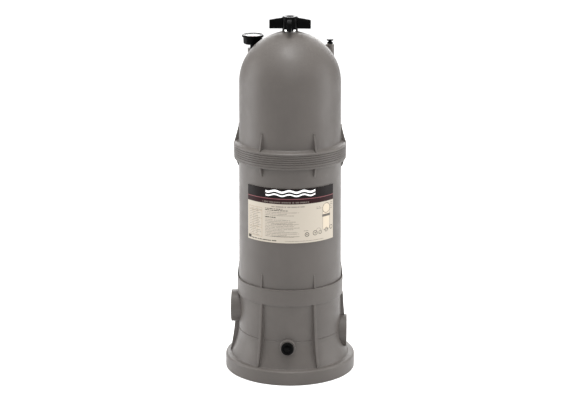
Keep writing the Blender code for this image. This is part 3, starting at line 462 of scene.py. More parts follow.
def stretched(tree, place, by):
    """A place with each of its axes multiplied."""
    return add_node(tree, "VectorMath", {0: place, 1: by}, operation="MULTIPLY").outputs[0]


def make_moulded_grain():
    """Fine spark-eroded texture of a moulding tool, with a faint waviness under it."""
    tree, given, result = group("Moulded grain", "Height", Size=0.0009)
    scale = math(tree, "DIVIDE", 1.0, given["Size"])
    pits = noise(tree, given["Place"], scale, 3.0, 0.6)
    wave = noise(tree, given["Place"], 28.0, 1.0)
    tree.links.new(math(tree, "MULTIPLY_ADD", wave, 0.6, pits), result["Height"])
    return tree


def make_uneven_tone():
    """Slow cloudy change of tone, as resin and handling leave on a large moulding."""
    tree, given, result = group("Uneven tone", "Value", Size=0.08, Low=0.0, High=1.0)
    scale = math(tree, "DIVIDE", 1.0, given["Size"])
    cloud = noise(tree, given["Place"], scale, 4.0, 0.55)
    tree.links.new(spread(tree, cloud, 0.3, 0.7, given["Low"], given["High"]), result["Value"])
    return tree


def make_dust():
    """A mask of settled dust: on faces that look up, broken by a fine noise."""
    tree, given, result = group("Settled dust", "Mask", Amount=0.3)
    facing = add_node(tree, "NewGeometry").outputs["Normal"]
    upward = add_node(tree, "SeparateXYZ", {0: facing}).outputs["Z"]
    specks = noise(tree, given["Place"], 260.0, 5.0, 0.7)
    broken = math(tree, "MULTIPLY", spread(tree, upward, 0.25, 1.0), spread(tree, specks, 0.35, 0.7))
    tree.links.new(math(tree, "MULTIPLY", broken, given["Amount"], clamp=True), result["Mask"])
    return tree


def make_turning_marks():
    """Fine rings left by a lathe tool, along z."""
    tree, given, result = group("Turning marks", "Height", Pitch=0.0003)
    rings = stretched(tree, given["Place"], (0.02, 0.02, 1.0))
    tree.links.new(noise(tree, rings, math(tree, "DIVIDE", 1.0, given["Pitch"]), 2.0), result["Height"])
    return tree


GRAIN = make_moulded_grain()
TONE = make_uneven_tone()
DUST = make_dust()
TURNING = make_turning_marks()


def shared(tree, effect, inputs):
    """The value that a node group gives for these inputs."""
    node = tree.nodes.new("ShaderNodeGroup")
    node.node_tree = effect
    for socket, value in inputs.items():
        if isinstance(value, bpy.types.NodeSocket):
            tree.links.new(value, node.inputs[socket])
        else:
            node.inputs[socket].default_value = value
    return node.outputs[0]


def finish(name, colour, roughness, metallic=0.0, **shader_values):
    """A material with its plain values set on the shader, and the place every pattern reads."""
    material = bpy.data.materials.new(name)
    material.use_nodes = True
    tree = material.node_tree
    shader = tree.nodes["Principled BSDF"]
    shader.inputs["Base Color"].default_value = (*colour, 1)
    shader.inputs["Roughness"].default_value = roughness
    shader.inputs["Metallic"].default_value = metallic
    for socket, value in shader_values.items():
        shader.inputs[socket.replace("_", " ")].default_value = value
    spot = add_node(tree, "TexCoord").outputs["Object"]
    return material, tree, shader, spot


def bumped(tree, shader, height, strength, distance):
    bump = add_node(tree, "Bump", {"Height": height, "Strength": strength, "Distance": distance})
    tree.links.new(bump.outputs[0], shader.inputs["Normal"])


def plastic(name, colour, dark, roughness, grain=0.0009, depth=0.35, dust=0.25,
            dust_colour=(0.30, 0.28, 0.25), shine=0.25):
    """Moulded plastic: two close tones, a shine that varies, fine grain and a little dust."""
    material, tree, shader, spot = finish(name, colour, roughness, Specular_IOR_Level=shine)
    tone = shared(tree, TONE, {"Place": spot, "Size": 0.10})
    base = blend(tree, tone, (*dark, 1), (*colour, 1))
    settled = shared(tree, DUST, {"Place": spot, "Amount": dust})
    tree.links.new(blend(tree, settled, base, (*dust_colour, 1)), shader.inputs["Base Color"])
    worn = {"Place": spot, "Size": 0.035, "Low": roughness - 0.05, "High": roughness + 0.06}
    rough = math(tree, "MULTIPLY_ADD", settled, 0.25, shared(tree, TONE, worn))
    tree.links.new(rough, shader.inputs["Roughness"])
    bumped(tree, shader, shared(tree, GRAIN, {"Place": spot, "Size": grain}), depth, 0.0003)
    return material


def metal(name, colour, tarnish, roughness, pitch=0.0003, depth=0.25):
    """Turned metal with tool marks and a little tarnish."""
    material, tree, shader, spot = finish(name, colour, roughness, 1.0)
    tone = shared(tree, TONE, {"Place": spot, "Size": 0.012})
    tree.links.new(blend(tree, tone, (*tarnish, 1), (*colour, 1)), shader.inputs["Base Color"])
    worn = {"Place": spot, "Size": 0.006, "Low": roughness - 0.06, "High": roughness + 0.10}
    tree.links.new(shared(tree, TONE, worn), shader.inputs["Roughness"])
    bumped(tree, shader, shared(tree, TURNING, {"Place": spot, "Pitch": pitch}), depth, 0.0001)
    return material


HOUSING = plastic("Taupe housing plastic", (0.0735, 0.0654, 0.0597), (0.0640, 0.0568, 0.0520), 0.44,
                  0.0011, 0.30, 0.10)
BLACK = plastic("Black plastic", (0.0022, 0.0022, 0.0022), (0.0015, 0.0015, 0.0015), 0.25,
                0.0007, 0.25, 0.003, shine=0.03)
RUBBER = plastic("Black rubber", (0.024, 0.024, 0.024), (0.016, 0.016, 0.016), 0.66, 0.0006, 0.40, 0.10)
WHITE = plastic("White plastic", (0.62, 0.61, 0.58), (0.56, 0.55, 0.51), 0.42, 0.0010, 0.20, 0.10,
                (0.42, 0.38, 0.30))
END_CAP = plastic("Cast blue urethane", (0.055, 0.125, 0.250), (0.040, 0.100, 0.210), 0.50, 0.0016, 0.30, 0.15)
STEEL = metal("Drawn stainless steel", (0.62, 0.61, 0.59), (0.50, 0.49, 0.47), 0.26)
BRASS = metal("Turned brass", (0.60, 0.43, 0.18), (0.40, 0.26, 0.11), 0.30)
DIAL_BLACK = plastic("Dial print", (0.015, 0.015, 0.015), (0.012, 0.012, 0.012), 0.45, 0.0008, 0.10, 0.0)
NEEDLE_RED = plastic("Red needle paint", (0.50, 0.030, 0.022), (0.42, 0.022, 0.016), 0.40, 0.0008, 0.12, 0.0)
DIAL_WHITE = plastic("White dial enamel", (0.86, 0.86, 0.83), (0.82, 0.82, 0.79), 0.38, 0.0020, 0.06, 0.0)


def make_clear_lens():
    """A thin clear window: a faint film that lets the dial show through."""
    material, tree, shader, spot = finish("Clear lens", (1.0, 1.0, 1.0), 0.03, IOR=1.49, Alpha=0.14)
    haze = shared(tree, TONE, {"Place": spot, "Size": 0.010, "Low": 0.02, "High": 0.07})
    tree.links.new(haze, shader.inputs["Roughness"])
    return material


def make_filter_media():
    """Spun polyester sheet: matted fibres, with grey dirt that gathers in patches."""
    material, tree, shader, spot = finish("Spun polyester", (0.80, 0.80, 0.77), 0.9)
    shader.inputs["Sheen Weight"].default_value = 0.25
    fibres = noise(tree, stretched(tree, spot, (1.0, 1.0, 0.35)), 900.0, 4.0, distortion=2.0)
    dirt = math(tree, "MULTIPLY", shared(tree, TONE, {"Place": spot, "Size": 0.05}), 0.5)
    sheet = blend(tree, dirt, (0.80, 0.80, 0.77, 1), (0.60, 0.58, 0.52, 1))
    tree.links.new(sheet, shader.inputs["Base Color"])
    bumped(tree, shader, fibres, 0.5, 0.0003)
    return material


LENS = make_clear_lens()
MEDIA = make_filter_media()


def rides(piece, body, material, slot, *nodes):
    """Gives a finished piece its material, its body and the plain nodes it stands for. Its slot is not used.
    """
    piece.data.materials.clear()
    piece.data.materials.append(material)
    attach(piece, body)
    if nodes:
        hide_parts(*nodes)
    return piece


# ---- vessel ------------------------------------------------------------------------------------------------


def skirt_radius(height):
    """The base's outside between the band and the foot flange."""
    if height >= CREASE_Z:
        return CREASE - (CREASE - SKIRT_TOP) * (height - CREASE_Z) / (BAND_BOTTOM - CREASE_Z)
    return CREASE + FLARE * ((CREASE_Z - height) / (CREASE_Z - LEDGE_Z)) ** 1.6


def flare(inset, top, bottom, count):
    heights = [top + (bottom - top) * k / (count - 1) for k in range(count)]
    return [(skirt_radius(z) - inset, z) for z in heights]


def rib_reach(height):
    """How far out a rib's edge stands: it leans away from the band and curls out to the flange."""
    share = (BAND_BOTTOM - height) / (BAND_BOTTOM - LEDGE_Z)
    return BAND_RADIUS + 0.0005 + 0.0105 * share + 0.0090 * share ** 3


def rib(name, bottom):
    count = 15
    heights = [BAND_BOTTOM + 0.003 + (bottom - BAND_BOTTOM - 0.003) * k / (count - 1) for k in range(count)]
    rows = []
    for z in heights:
        root = skirt_radius(z)
        rows.append((z, root, max(rib_reach(min(z, BAND_BOTTOM)), root + 0.003)))
    rows[0] = (heights[0], SKIRT_TOP, BAND_RADIUS - 0.001)
    return web(name, rows, 0.00375, 0.0014, 0.0010)


def port(name, face, height, turn):
    """A port's boss, open right through."""
    return turned(name, [
        (PORT_BORE, face, 0.0012),
        (PORT_RADIUS, face, 0.0015),
        (PORT_RADIUS, TANK_INNER - 0.012),
        (PORT_BORE, TANK_INNER - 0.012),
    ], 72, (0, 0, height), turn)


def model_base():
    crease = [(CREASE, CREASE_Z + 0.0012), (CREASE - 0.0009, CREASE_Z), (CREASE + 0.0005, CREASE_Z - 0.0012)]
    outer = [*flare(0, BAND_BOTTOM, CREASE_Z, 4)[1:-1], *crease, *flare(0, CREASE_Z, LEDGE_Z + 0.002, 12)[1:]]
    inner = flare(WALL, FLOOR_Z + 0.010, CREASE_Z, 8)
    base = turned("filter_base_shell", [
        (0, FLOOR_Z),
        (inner[0][0] - 0.010, FLOOR_Z, 0.006),
        *inner,
        (TANK_INNER, BAND_BOTTOM - 0.012),
        (TANK_INNER, SOCKET_FLOOR),
        (TANK_RADIUS + GAP, SOCKET_FLOOR),
        (TANK_RADIUS + GAP, BAND_TOP, 0.0006),
        (BAND_RADIUS, BAND_TOP, 0.0014),
        (BAND_RADIUS, BAND_BOTTOM, 0.0014),
        (SKIRT_TOP + 0.0003, BAND_BOTTOM, 0.0025),
        *outer,
        (FOOT_RADIUS + 0.0004, LEDGE_Z, 0.0020),
        (FLANGE_RADIUS, LEDGE_Z, 0.0085),
        (FLANGE_RADIUS, 0, 0.0018),
        (FLANGE_RADIUS - 0.0065, 0, 0.0008),
        (FLANGE_RADIUS - 0.0065, LEDGE_Z - 0.008, 0.003),
        (FOOT_RADIUS - 0.006, LEDGE_Z - 0.006, 0.002),
        (FOOT_RADIUS - 0.011, FLOOR_Z - WALL, 0.004),
        (0, FLOOR_Z - WALL),
    ], FINE)
    hole = PORT_BORE + 0.001
    inside, outside = TANK_INNER - 0.030, TANK_RADIUS + 0.030
    for label, height, turn in (("inlet", INLET_Z, TO_LEFT), ("outlet", OUTLET_Z, TO_RIGHT)):
        cut(base, plug(f"{label}_cutter", hole, inside, outside, height, turn))
    cut(base, plug("drain_cutter", 0.0116, inside, outside, DRAIN_Z, TO_FRONT))
    ribs = around(rib("ribs", LEDGE_Z - 0.003), [a for a in RIB_ANGLES if a != 90])
    short = around(rib("short_rib", OUTLET_Z + PORT_RADIUS - 0.008), [90])
    drain = turned("drain_boss", [
        (0.0106, DRAIN_FACE, 0.0008),
        (0.0203, DRAIN_FACE, 0.0014),
        (0.0207, CREASE, 0.0),
        (0.0222, CREASE - 0.002, 0.0),
        (0.0222, CREASE - WALL + 0.002),
        (0.0106, CREASE - WALL + 0.002),
    ], ROUND, (0, 0, DRAIN_Z), TO_FRONT)
    anchor = turned("anchor_boss", [
        (0.0113, 0.084, 0.0006),
        (0.0160, 0.084, 0.0012),
        (0.0160, FLOOR_Z, 0.003),
        (0.0200, FLOOR_Z - 0.001),
        (0.0113, FLOOR_Z - 0.001),
    ], ROUND)
    threads = []
    for label, face, height, turn in (
            ("inlet", INLET_FACE, INLET_Z, TO_LEFT), ("outlet", OUTLET_FACE, OUTLET_Z, TO_RIGHT)):
        threads.append(port(f"{label}_boss", face, height, turn))
        threads.append(thread(f"{label}_thread", PORT_BORE, 0.0011, 0.0022, face - 0.024, face - 0.003,
                              inside=True, steps=60, at=(0, 0, height), turn=turn))
    base = joined(base, *ribs, *short, drain, anchor, *threads)
    rides(smooth(base, 30), "vessel", HOUSING, "housing_plastic", "filter_base")


def plug(name, radius, bottom, top, height, turn):
    """A round cutter for a way through the wall."""
    return turned(name, [(0, top), (radius, top), (radius, bottom), (0, bottom)], ROUND, (0, 0, height), turn)


def model_tank():
    under = TANK_RADIUS - 0.0019
    groove_z = RIM_TOP + 0.6 * 0.023
    reach = COLLAR_RADIUS - 0.0007
    foot = SOCKET_FLOOR + GAP
    groove = SPIGOT_RADIUS - SEAL_DEPTH
    tank = turned("tank_shell", [
        (TANK_INNER + 0.006, SPIGOT_TOP, 0.0008),
        (SPIGOT_RADIUS, SPIGOT_TOP, 0.0014),
        (SPIGOT_RADIUS, groove_z + SEAL_HALF, 0.0003),
        (groove, groove_z + SEAL_HALF, 0.0003),
        (groove, groove_z - SEAL_HALF, 0.0003),
        (SPIGOT_RADIUS, groove_z - SEAL_HALF, 0.0003),
        (SPIGOT_RADIUS, RIM_TOP, 0.0008),
        (reach, RIM_TOP, 0.0010),
        (reach, RIM_Z, 0.0016),
        (under + 0.0004, RIM_Z, 0.0022),
        (TANK_RADIUS - 0.0010, (RIM_Z + BAND_TOP) / 2),
        (TANK_RADIUS, BAND_TOP),
        (TANK_RADIUS, foot, 0.001),
        (TANK_INNER, foot, 0.001),
        (TANK_INNER, RIM_Z - 0.008),
        (TANK_INNER + 0.006, RIM_Z - 0.002),
    ], FINE)
    rim_rows = [
        (RIM_Z + 0.001, under, COLLAR_RADIUS - 0.0035),
        (RIM_Z - 0.003, under, COLLAR_RADIUS - 0.0035),
        (RIM_Z - 0.009, under, COLLAR_RADIUS - 0.0062),
        (RIM_Z - 0.016, under, under + 0.0058),
        (RIM_Z - 0.022, under, under + 0.0034),
        (RIM_Z - 0.0245, under, under + 0.0020),
    ]
    rim = around(web("rim_gussets", rim_rows, 0.0022, 0.0018, 0.0008), RIB_ANGLES)
    low = BAND_TOP + 2 * GAP
    band_rows = [
        (low + 0.035, TANK_RADIUS, TANK_RADIUS + 0.0006),
        (low + 0.024, TANK_RADIUS, TANK_RADIUS + 0.0018),
        (low + 0.010, TANK_RADIUS, TANK_RADIUS + 0.0034),
        (low, TANK_RADIUS, BAND_RADIUS - 0.0006),
    ]
    band = around(web("band_gussets", band_rows, 0.0022, 0.0006, 0.0006), RIB_ANGLES)
    tank = joined(tank, *rim, *band)
    rides(smooth(tank, 30), "vessel", HOUSING, "housing_plastic", "tank_body")
    seal = o_ring("head_o_ring", SPIGOT_RADIUS - SEAL_DEPTH / 2 + GAP, 0.0021, groove_z, FINE)
    rides(seal, "vessel", RUBBER, "rubber", "head_seal")


def model_rod():
    rod = turned("tie_rod_bar", [
        (0, ROD_TOP),
        (ROD_RADIUS, ROD_TOP, 0.0012),
        (ROD_RADIUS, ROD_TOP - 0.0300),
        (ROD_RADIUS - 0.0001, ROD_TOP - 0.0304),
        (ROD_RADIUS - 0.0001, ROD_BOTTOM + 0.0304),
        (ROD_RADIUS, ROD_BOTTOM + 0.0300),
        (ROD_RADIUS, ROD_BOTTOM, 0.0010),
        (0, ROD_BOTTOM),
    ], 36)
    depth = 0.0011
    spiral = thread("rod_thread", ROD_RADIUS - depth, depth, KNOB_PITCH, ROD_TOP - 0.028, ROD_TOP - 0.002,
                    steps=24)
    core = [v for v in rod.data.vertices if v.co.z > ROD_TOP - 0.0285 and hypot(v.co.x, v.co.y) > 0.001]
    for vertex in core:
        vertex.co.x *= 0.83
        vertex.co.y *= 0.83
    rides(joined(rod, spiral), "vessel", STEEL, "stainless", "tie_rod")
    low, high = box("rod_anchor")
    ridges = [(high.x - (0.0006 if k % 2 else 0), high.z - 0.003 - 0.0016 * k) for k in range(14)]
    anchor = turned("rod_anchor_nut", [
        (ROD_RADIUS + GAP, high.z, 0.0006),
        (high.x, high.z, 0.0006),
        *ridges,
        (high.x, low.z, 0.0006),
        (ROD_RADIUS + GAP, low.z, 0.0004),
    ], 36)
    rides(anchor, "vessel", BRASS, "brass", "rod_anchor")


def model_drain():
    low, high = box("drain_plug")
    head = high.x
    reach = -low.y
    seat = -box("drain_seal")[0].y + GAP
    shank = 0.0102
    plug_body = turned("drain_plug_cap", [
        (0, seat + 0.0060),
        (0.0100, seat + 0.0060, 0.0006),
        (0.0108, seat + 0.0075, 0.0006),
        (head, seat + 0.0075, 0.0018),
        (head, seat, 0.0008),
        (shank - 0.0010, seat, 0.0004),
        (shank - 0.0010, seat - 0.020),
        (shank - 0.0026, seat - 0.022, 0.0006),
        (0, seat - 0.022),
    ], 60, (0, 0, DRAIN_Z), TO_FRONT)
    side = 0.0058
    ring = ((1, 0.82), (0.82, 1), (-0.82, 1), (-1, 0.82), (-1, -0.82), (-0.82, -1), (0.82, -1), (1, -0.82))
    grip = drawn("drain_grip", [
        [Vector((across * (side + step), -y, DRAIN_Z + up * (side + step))) for across, up in ring]
        for y, step in ((seat + 0.004, 0.0004), (reach - 0.0010, 0.0), (reach, -0.0009))
    ], 40)
    knurls = around_axis_y(knurl("drain_knurl", head, seat + 0.0012, seat + 0.0058, 0.0011, 0.0005), 30)
    spiral = thread("drain_thread", shank - 0.0010, 0.0010, DRAIN_PITCH, seat - 0.019, seat - 0.002, steps=30,
                    at=(0, 0, DRAIN_Z), turn=TO_FRONT)
    plug_body = joined(plug_body, grip, spiral, *knurls)
    rides(smooth(plug_body, 35), "drain", BLACK, "black_plastic", "drain_plug")
    low, high = box("drain_seal")
    ring = washer("drain_washer_ring", (0.0004, 0.0006), 0.0109, high.x, -high.y, -low.y, ROUND,
                  (0, 0, DRAIN_Z), TO_FRONT)
    rides(ring, "drain_washer", RUBBER, "rubber", "drain_seal")


def knurl(name, radius, low, high, width, depth):
    """One ridge of a row round a head, standing at the z axis's +x side."""
    sections = []
    for z, lift in ((low, -0.3), (low + depth, 1.0), (high - depth, 1.0), (high, -0.3)):
        sections.append([
            Vector((radius - 0.0012, -width / 2, z)),
            Vector((radius - 0.0012 + 0.0006 * lift, -width / 2, z)),
            Vector((radius - 0.0002, 0, z)) if lift > 0 else Vector((radius - 0.0014, 0, z)),
            Vector((radius - 0.0012 + 0.0006 * lift, width / 2, z)),
            Vector((radius - 0.0012, width / 2, z)),
        ])
    return drawn(name, sections)


def around_axis_y(piece, count):
    """Turns copies of a ridge round the z axis, then lays the row down to face the front."""
    made = around(piece, evenly(count))
    return [place(each, (0, 0, DRAIN_Z), TO_FRONT) for each in made]


# ---- head --------------------------------------------------------------------------------------------------


def fitting_boss(name, spot, radius, top, bore):
    """An upright boss for a fitting, which tapers away into the dome's side."""
    root = DOME_Z + 0.016
    lean = DOME_RADIUS - hypot(spot.x, spot.y)
    return turned(name, [
        (bore, top, 0.0008),
        (radius, top, 0.0012),
        (radius, root + 0.030, 0.006),
        (lean, root + 0.004, 0.004),
        (lean - 0.002, root),
        (bore, root),
    ], ROUND, (spot.x, spot.y, 0))


def dome_arc(radius, start, end, count):
    angles = [radians(start + (end - start) * k / (count - 1)) for k in range(count)]
    return [(radius * cos(a), DOME_Z + radius * sin(a)) for a in angles]


def collar_ridges():
    """The grip rings round the collar, from the top ring down."""
    top = COLLAR_TOP - 0.0030
    pitch = (top - COLLAR_BOTTOM) / 6
    made = []
    for k in range(6):
        z = top - pitch * k
        made += [
            (COLLAR_RADIUS - (0.0010 if k else 0.0), z, 0.0006),
            (COLLAR_RADIUS, z - pitch + 0.0024, 0.0008),
        ]
        if k < 5:
            made += [(COLLAR_RADIUS - 0.0024, z - pitch + 0.0010, 0.0004)]
    made[-1] = (COLLAR_RADIUS, COLLAR_BOTTOM, 0.0014)
    return made


def crown_post():
    """One of four posts that the knob bears on; its outer foot runs down into the dome."""
    top = POST_TOP
    inner, outer, half = 0.0148, 0.0200, 0.0035
    rows = [
        (top, inner, outer, half),
        (top - 0.0015, inner, outer, half),
        (DOME_TOP + 0.0010, inner, outer + 0.0002, half + 0.0002),
        (DOME_TOP - 0.0030, inner, outer + 0.0016, half + 0.0010),
        (DOME_TOP - 0.0075, inner, outer + 0.0050, half + 0.0026),
    ]
    edge = 0.0009
    sections = []
    for z, near, far, wide in rows:
        trim = edge if z < top else edge * 1.7
        back = 0 if z < top else 0.0007
        points = [(wide - back, near + trim), (wide - back, far - trim), (wide - trim, far - back),
                  (-wide + trim, far - back), (-wide + back, far - trim), (-wide + back, near + trim),
                  (-wide + trim, near + back), (wide - trim, near + back)]
        sections.append([Vector((x, -r, z)) for x, r in points])
    return drawn("crown_posts", sections, 40)


def crown_fillet():
    """A low ridge from each post down the dome, as the mould's ejector lands leave."""
    rows = []
    for k in range(9):
        share = k / 8
        angle = radians(81 - 15 * share)
        proud = 0.0022 * (1 - share) ** 1.5 - 0.0006 * share
        wide = 0.0046 * (1 - share) + 0.0012
        across = DOME_RADIUS * cos(angle)
        z = DOME_Z + DOME_RADIUS * sin(angle)
        lift = proud * sin(angle)
        out = proud * cos(angle)
        rows.append([
            Vector((x, -(across + o), zz)) for x, o, zz in (
                (wide, -0.0015, z - 0.002),
                (wide * 0.9, 0, z - 0.0003),
                (wide * 0.45, out * 0.8, z + lift * 0.8),
                (0, out, z + lift),
                (-wide * 0.45, out * 0.8, z + lift * 0.8),
                (-wide * 0.9, 0, z - 0.0003),
                (-wide, -0.0015, z - 0.002),
            )])
    return drawn("crown_lands", rows, 50)


def model_head():
    pad = DOME_TOP - 0.0008
    seal_seat = pad - 0.0045
    crown = DOME_TOP - 0.013
    shoulder = SPIGOT_TOP + 0.001
    head = turned("head_shell", [
        (0.0110, pad, 0.0005),
        (0.0138, pad, 0.0004),
        *dome_arc(DOME_RADIUS, 83.5, 0, 34),
        (HEAD_RADIUS, COLLAR_TOP + 0.0040, 0.0030),
        (COLLAR_RADIUS - 0.0030, COLLAR_TOP - 0.0002, 0.0016),
        *collar_ridges(),
        (COLLAR_BORE, COLLAR_BOTTOM, 0.0010),
        (COLLAR_BORE, shoulder, 0.0010),
        (HEAD_RADIUS - WALL, shoulder, 0.0010),
        *dome_arc(DOME_RADIUS - WALL, 0, 78, 18),
        (0.0180, crown, 0.004),
        (ROD_WAY, crown, 0.0006),
        (ROD_WAY, seal_seat, 0.0003),
        (0.0110, seal_seat, 0.0003),
    ], FINE)
    for label, spot, radius, top in (
            ("gauge", GAUGE, 0.0066, GAUGE_BOSS_Z), ("valve", VALVE, 0.0071, VALVE_BOSS_Z)):
        outline = [(0, top), (radius, top), (radius, DOME_Z + 0.02), (0, DOME_Z + 0.02)]
        cut(head, turned(f"{label}_way", outline, 24, (spot.x, spot.y, 0)))
    gusset_rows = []
    tall, steps = 0.046, 7
    for k in range(steps + 1):
        share = k / steps
        edge = HEAD_RADIUS + 0.0006 + (COLLAR_RADIUS - HEAD_RADIUS - 0.0022) * share ** 1.15
        gusset_rows.append((COLLAR_TOP + tall - tall * share, HEAD_RADIUS, edge))
    gusset_rows.append((COLLAR_TOP - 0.003, HEAD_RADIUS, COLLAR_RADIUS - 0.0020))
    gussets = around(web("head_gussets", gusset_rows, 0.0022, 0.0018, 0.0008), RIB_ANGLES)
    posts = around(crown_post(), evenly(4))
    lands = around(crown_fillet(), evenly(4))
    gauge_boss = fitting_boss("gauge_boss", GAUGE, 0.0138, GAUGE_BOSS_Z, 0.0066)
    valve_boss = fitting_boss("valve_boss", VALVE, 0.0108, VALVE_BOSS_Z, 0.0071)
    head = joined(head, *gussets, *posts, *lands, gauge_boss, valve_boss)
    rides(smooth(head, 30), "head", HOUSING, "housing_plastic", "filter_head")
    low, high = box("rod_seal")
    half = (high.x - ROD_RADIUS - GAP) / 2
    ring = o_ring("rod_o_ring", high.x - half, half, (low.z + high.z) / 2, ROUND)
    rides(ring, "head", RUBBER, "rubber", "rod_seal")


# ---- lock knob ---------------------------------------------------------------------------------------------


def wing(name):
    """One arm of the knob at the front: deep at the hub, sloping to a square tip."""
    foot = POST_TOP + 0.0005
    top = KNOB_TOP - 0.0032
    tip_top = foot + 0.0230
    middle_top = (top + tip_top) / 2
    rows = (
        (0.0100, 0.0062, top, foot + 0.0004),
        (0.0200, 0.0060, top - 0.0006, foot + 0.0004),
        (0.0365, 0.0059, middle_top, foot + 0.0004),
        (WING_REACH - 0.0012, 0.0058, tip_top, foot + 0.0002),
        (WING_REACH - 0.0004, 0.0055, tip_top - 0.0006, foot + 0.0006),
        (WING_REACH, 0.0048, tip_top - 0.0014, foot + 0.0012),
    )
    sections = []
    for out, half, high, low in rows:
        points = [(half, low + EDGE), (half, high - EDGE), (half - EDGE * 0.3, high - EDGE * 0.3),
                  (half - EDGE, high), (-half + EDGE, high), (-half + EDGE * 0.3, high - EDGE * 0.3),
                  (-half, high - EDGE), (-half, low + EDGE), (-half + EDGE, low), (half - EDGE, low)]
        sections.append([Vector((x, -out, z)) for x, z in points])
    return drawn(name, sections, 40)


def model_knob():
    foot = POST_TOP + GAP
    low, high = box("lock_knob")
    hub = 0.0206
    bore = 0.0103
    knob = turned("lock_knob_hub", [
        (0, high.z - 0.0036),
        (0.0070, high.z - 0.0034, 0.0012),
        (0.0095, high.z - 0.0006, 0.0010),
        (hub - 0.0016, high.z, 0.0014),
        (hub, high.z - 0.0040, 0.0015),
        (hub, foot, 0.0012),
        (0.0093, foot, 0.0015),
        (0.0093, low.z, 0.0008),
        (ROD_WAY, low.z, 0.0004),
        (ROD_WAY, foot + 0.0012),
        (bore, foot + 0.0012),
        (bore, ROD_TOP + 0.0023),
        (0, ROD_TOP + 0.0023),
    ], 60)
    wings = around(wing("knob_wings"), evenly(4))
    webs = around(knob_cheek(), evenly(4, 45))
    rides(smooth(joined(knob, *wings, *webs), 38), "knob", BLACK, "black_plastic", "lock_knob")
    low, high = box("knob_insert")
    insert = turned("knob_insert_nut", [
        (ROD_RADIUS + GAP, high.z, 0.0005),
        (high.x, high.z, 0.0008),
        *[(high.x - (0.0007 if k % 2 else 0), high.z - 0.002 - 0.0014 * k) for k in range(10)],
        (high.x, low.z, 0.0008),
        (ROD_RADIUS + GAP, low.z, 0.0005),
    ], 36)
    rides(insert, "knob", BRASS, "brass", "knob_insert")
    low, high = box("knob_washer")
    ring = turned("thrust_washer", [
        (ROD_WAY, high.z, 0.0002),
        (high.x, high.z, 0.0004),
        (high.x, low.z, 0.0003),
        (ROD_WAY, low.z, 0.0002),
    ], ROUND)
    rides(ring, "knob_washer", STEEL, "stainless", "knob_washer")


def knob_cheek():
    """The hollowed wall between two arms, a little proud of the hub."""
    foot = POST_TOP + 0.0006
    rows = [(foot, 0.0216, 0.0060), (foot + 0.0016, 0.0225, 0.0070), (foot + 0.012, 0.0221, 0.0066),
            (foot + 0.022, 0.0212, 0.0056), (foot + 0.027, 0.0202, 0.0040)]
    sections = []
    for z, out, half in rows:
        points = [(half, out - 0.006), (half * 0.8, out - 0.0018), (half * 0.4, out - 0.0004), (0, out),
                  (-half * 0.4, out - 0.0004), (-half * 0.8, out - 0.0018), (-half, out - 0.006)]
        sections.append([Vector((x, -r, z)) for x, r in points])
    return drawn("knob_cheek", sections, 50)


# ---- gauge -------------------------------------------------------------------------------------------------


def model_gauge():
    spot = (GAUGE.x, GAUGE.y, 0)
    radius = (box("gauge_case")[1].x - box("gauge_case")[0].x) / 2
    rim = GAUGE_RIM
    inside = radius - 0.0016
    case = turned("gauge_case_pan", [
        (0, GAUGE_CASE_Z + 0.0018),
        (inside - 0.004, GAUGE_CASE_Z + 0.0018, 0.002),
        (inside - 0.0006, GAUGE_CASE_Z + 0.0065, 0.002),
        (inside, rim, 0.0003),
        (radius, rim, 0.0005),
        (radius, rim - 0.0040, 0.0008),
        (radius - 0.0006, rim - 0.0050, 0.0006),
        (radius - 0.0010, GAUGE_CASE_Z + 0.0030, 0.0018),
        (radius - 0.0031, GAUGE_CASE_Z, 0.0018),
        (0.0100, GAUGE_CASE_Z, 0.0006),
        (0.0095, GAUGE_CASE_Z + 0.0006, 0.0004),
        (0, GAUGE_CASE_Z + 0.0006),
    ], 72, spot)
    rides(case, "head", BLACK, "black_plastic", "gauge_case")
    low, high = box("gauge_bezel")
    outer = (high.x - low.x) / 2
    lens_top = box("gauge_lens")[1].z + GAP
    bezel = turned("gauge_bezel_ring", [
        (radius - 0.0012, lens_top + 0.0008, 0.0003),
        (outer - 0.0006, lens_top + 0.0010, 0.0004),
        (outer, lens_top - 0.0004, 0.0006),
        (outer, low.z, 0.0008),
        (radius + GAP, low.z, 0.0003),
        (radius + GAP, lens_top),
        (radius - 0.0012, lens_top, 0.0002),
    ], 96, spot)
    lift = (low.z + lens_top) / 2
    ridges = around(bezel_ridge(outer, lift, (lens_top - low.z) / 2 - 0.0010), evenly(60))
    ridges = [place(each, spot) for each in ridges]
    rides(smooth(joined(bezel, *ridges), 40), "head", BLACK, "black_plastic", "gauge_bezel")
    low, high = box("gauge_lens")
    lens = turned("gauge_window", [
        (0, high.z),
        (radius - 0.0001, high.z, 0.0003),
        (radius - 0.0001, low.z, 0.0003),
        (0, low.z),
    ], 72, spot)
    rides(lens, "head", LENS, "lens", "gauge_lens")
    stem = turned("gauge_stem_hex", [
        (0, GAUGE_CASE_Z - GAP),
        (0.0072, GAUGE_CASE_Z - GAP, 0.0006),
        (0.0078, GAUGE_CASE_Z - 0.0022, 0.0004),
        (0.0078, GAUGE_BOSS_Z + 0.0018, 0.0004),
        (0.0072, GAUGE_BOSS_Z + GAP, 0.0004),
        (0.0050, GAUGE_BOSS_Z + GAP),
        (0.0050, GAUGE_BOSS_Z - 0.018, 0.0010),
        (0, GAUGE_BOSS_Z - 0.018),
    ], 6, spot)
    smooth(stem, 20)
    spiral = thread("gauge_thread", 0.0050, 0.0009, 0.0014, GAUGE_BOSS_Z - 0.017, GAUGE_BOSS_Z - 0.002,
                    steps=24, at=spot)
    rides(joined(stem, spiral), "head", BLACK, "black_plastic", "gauge_stem")
    model_dial(spot, inside)
    model_pressure_tube(spot)


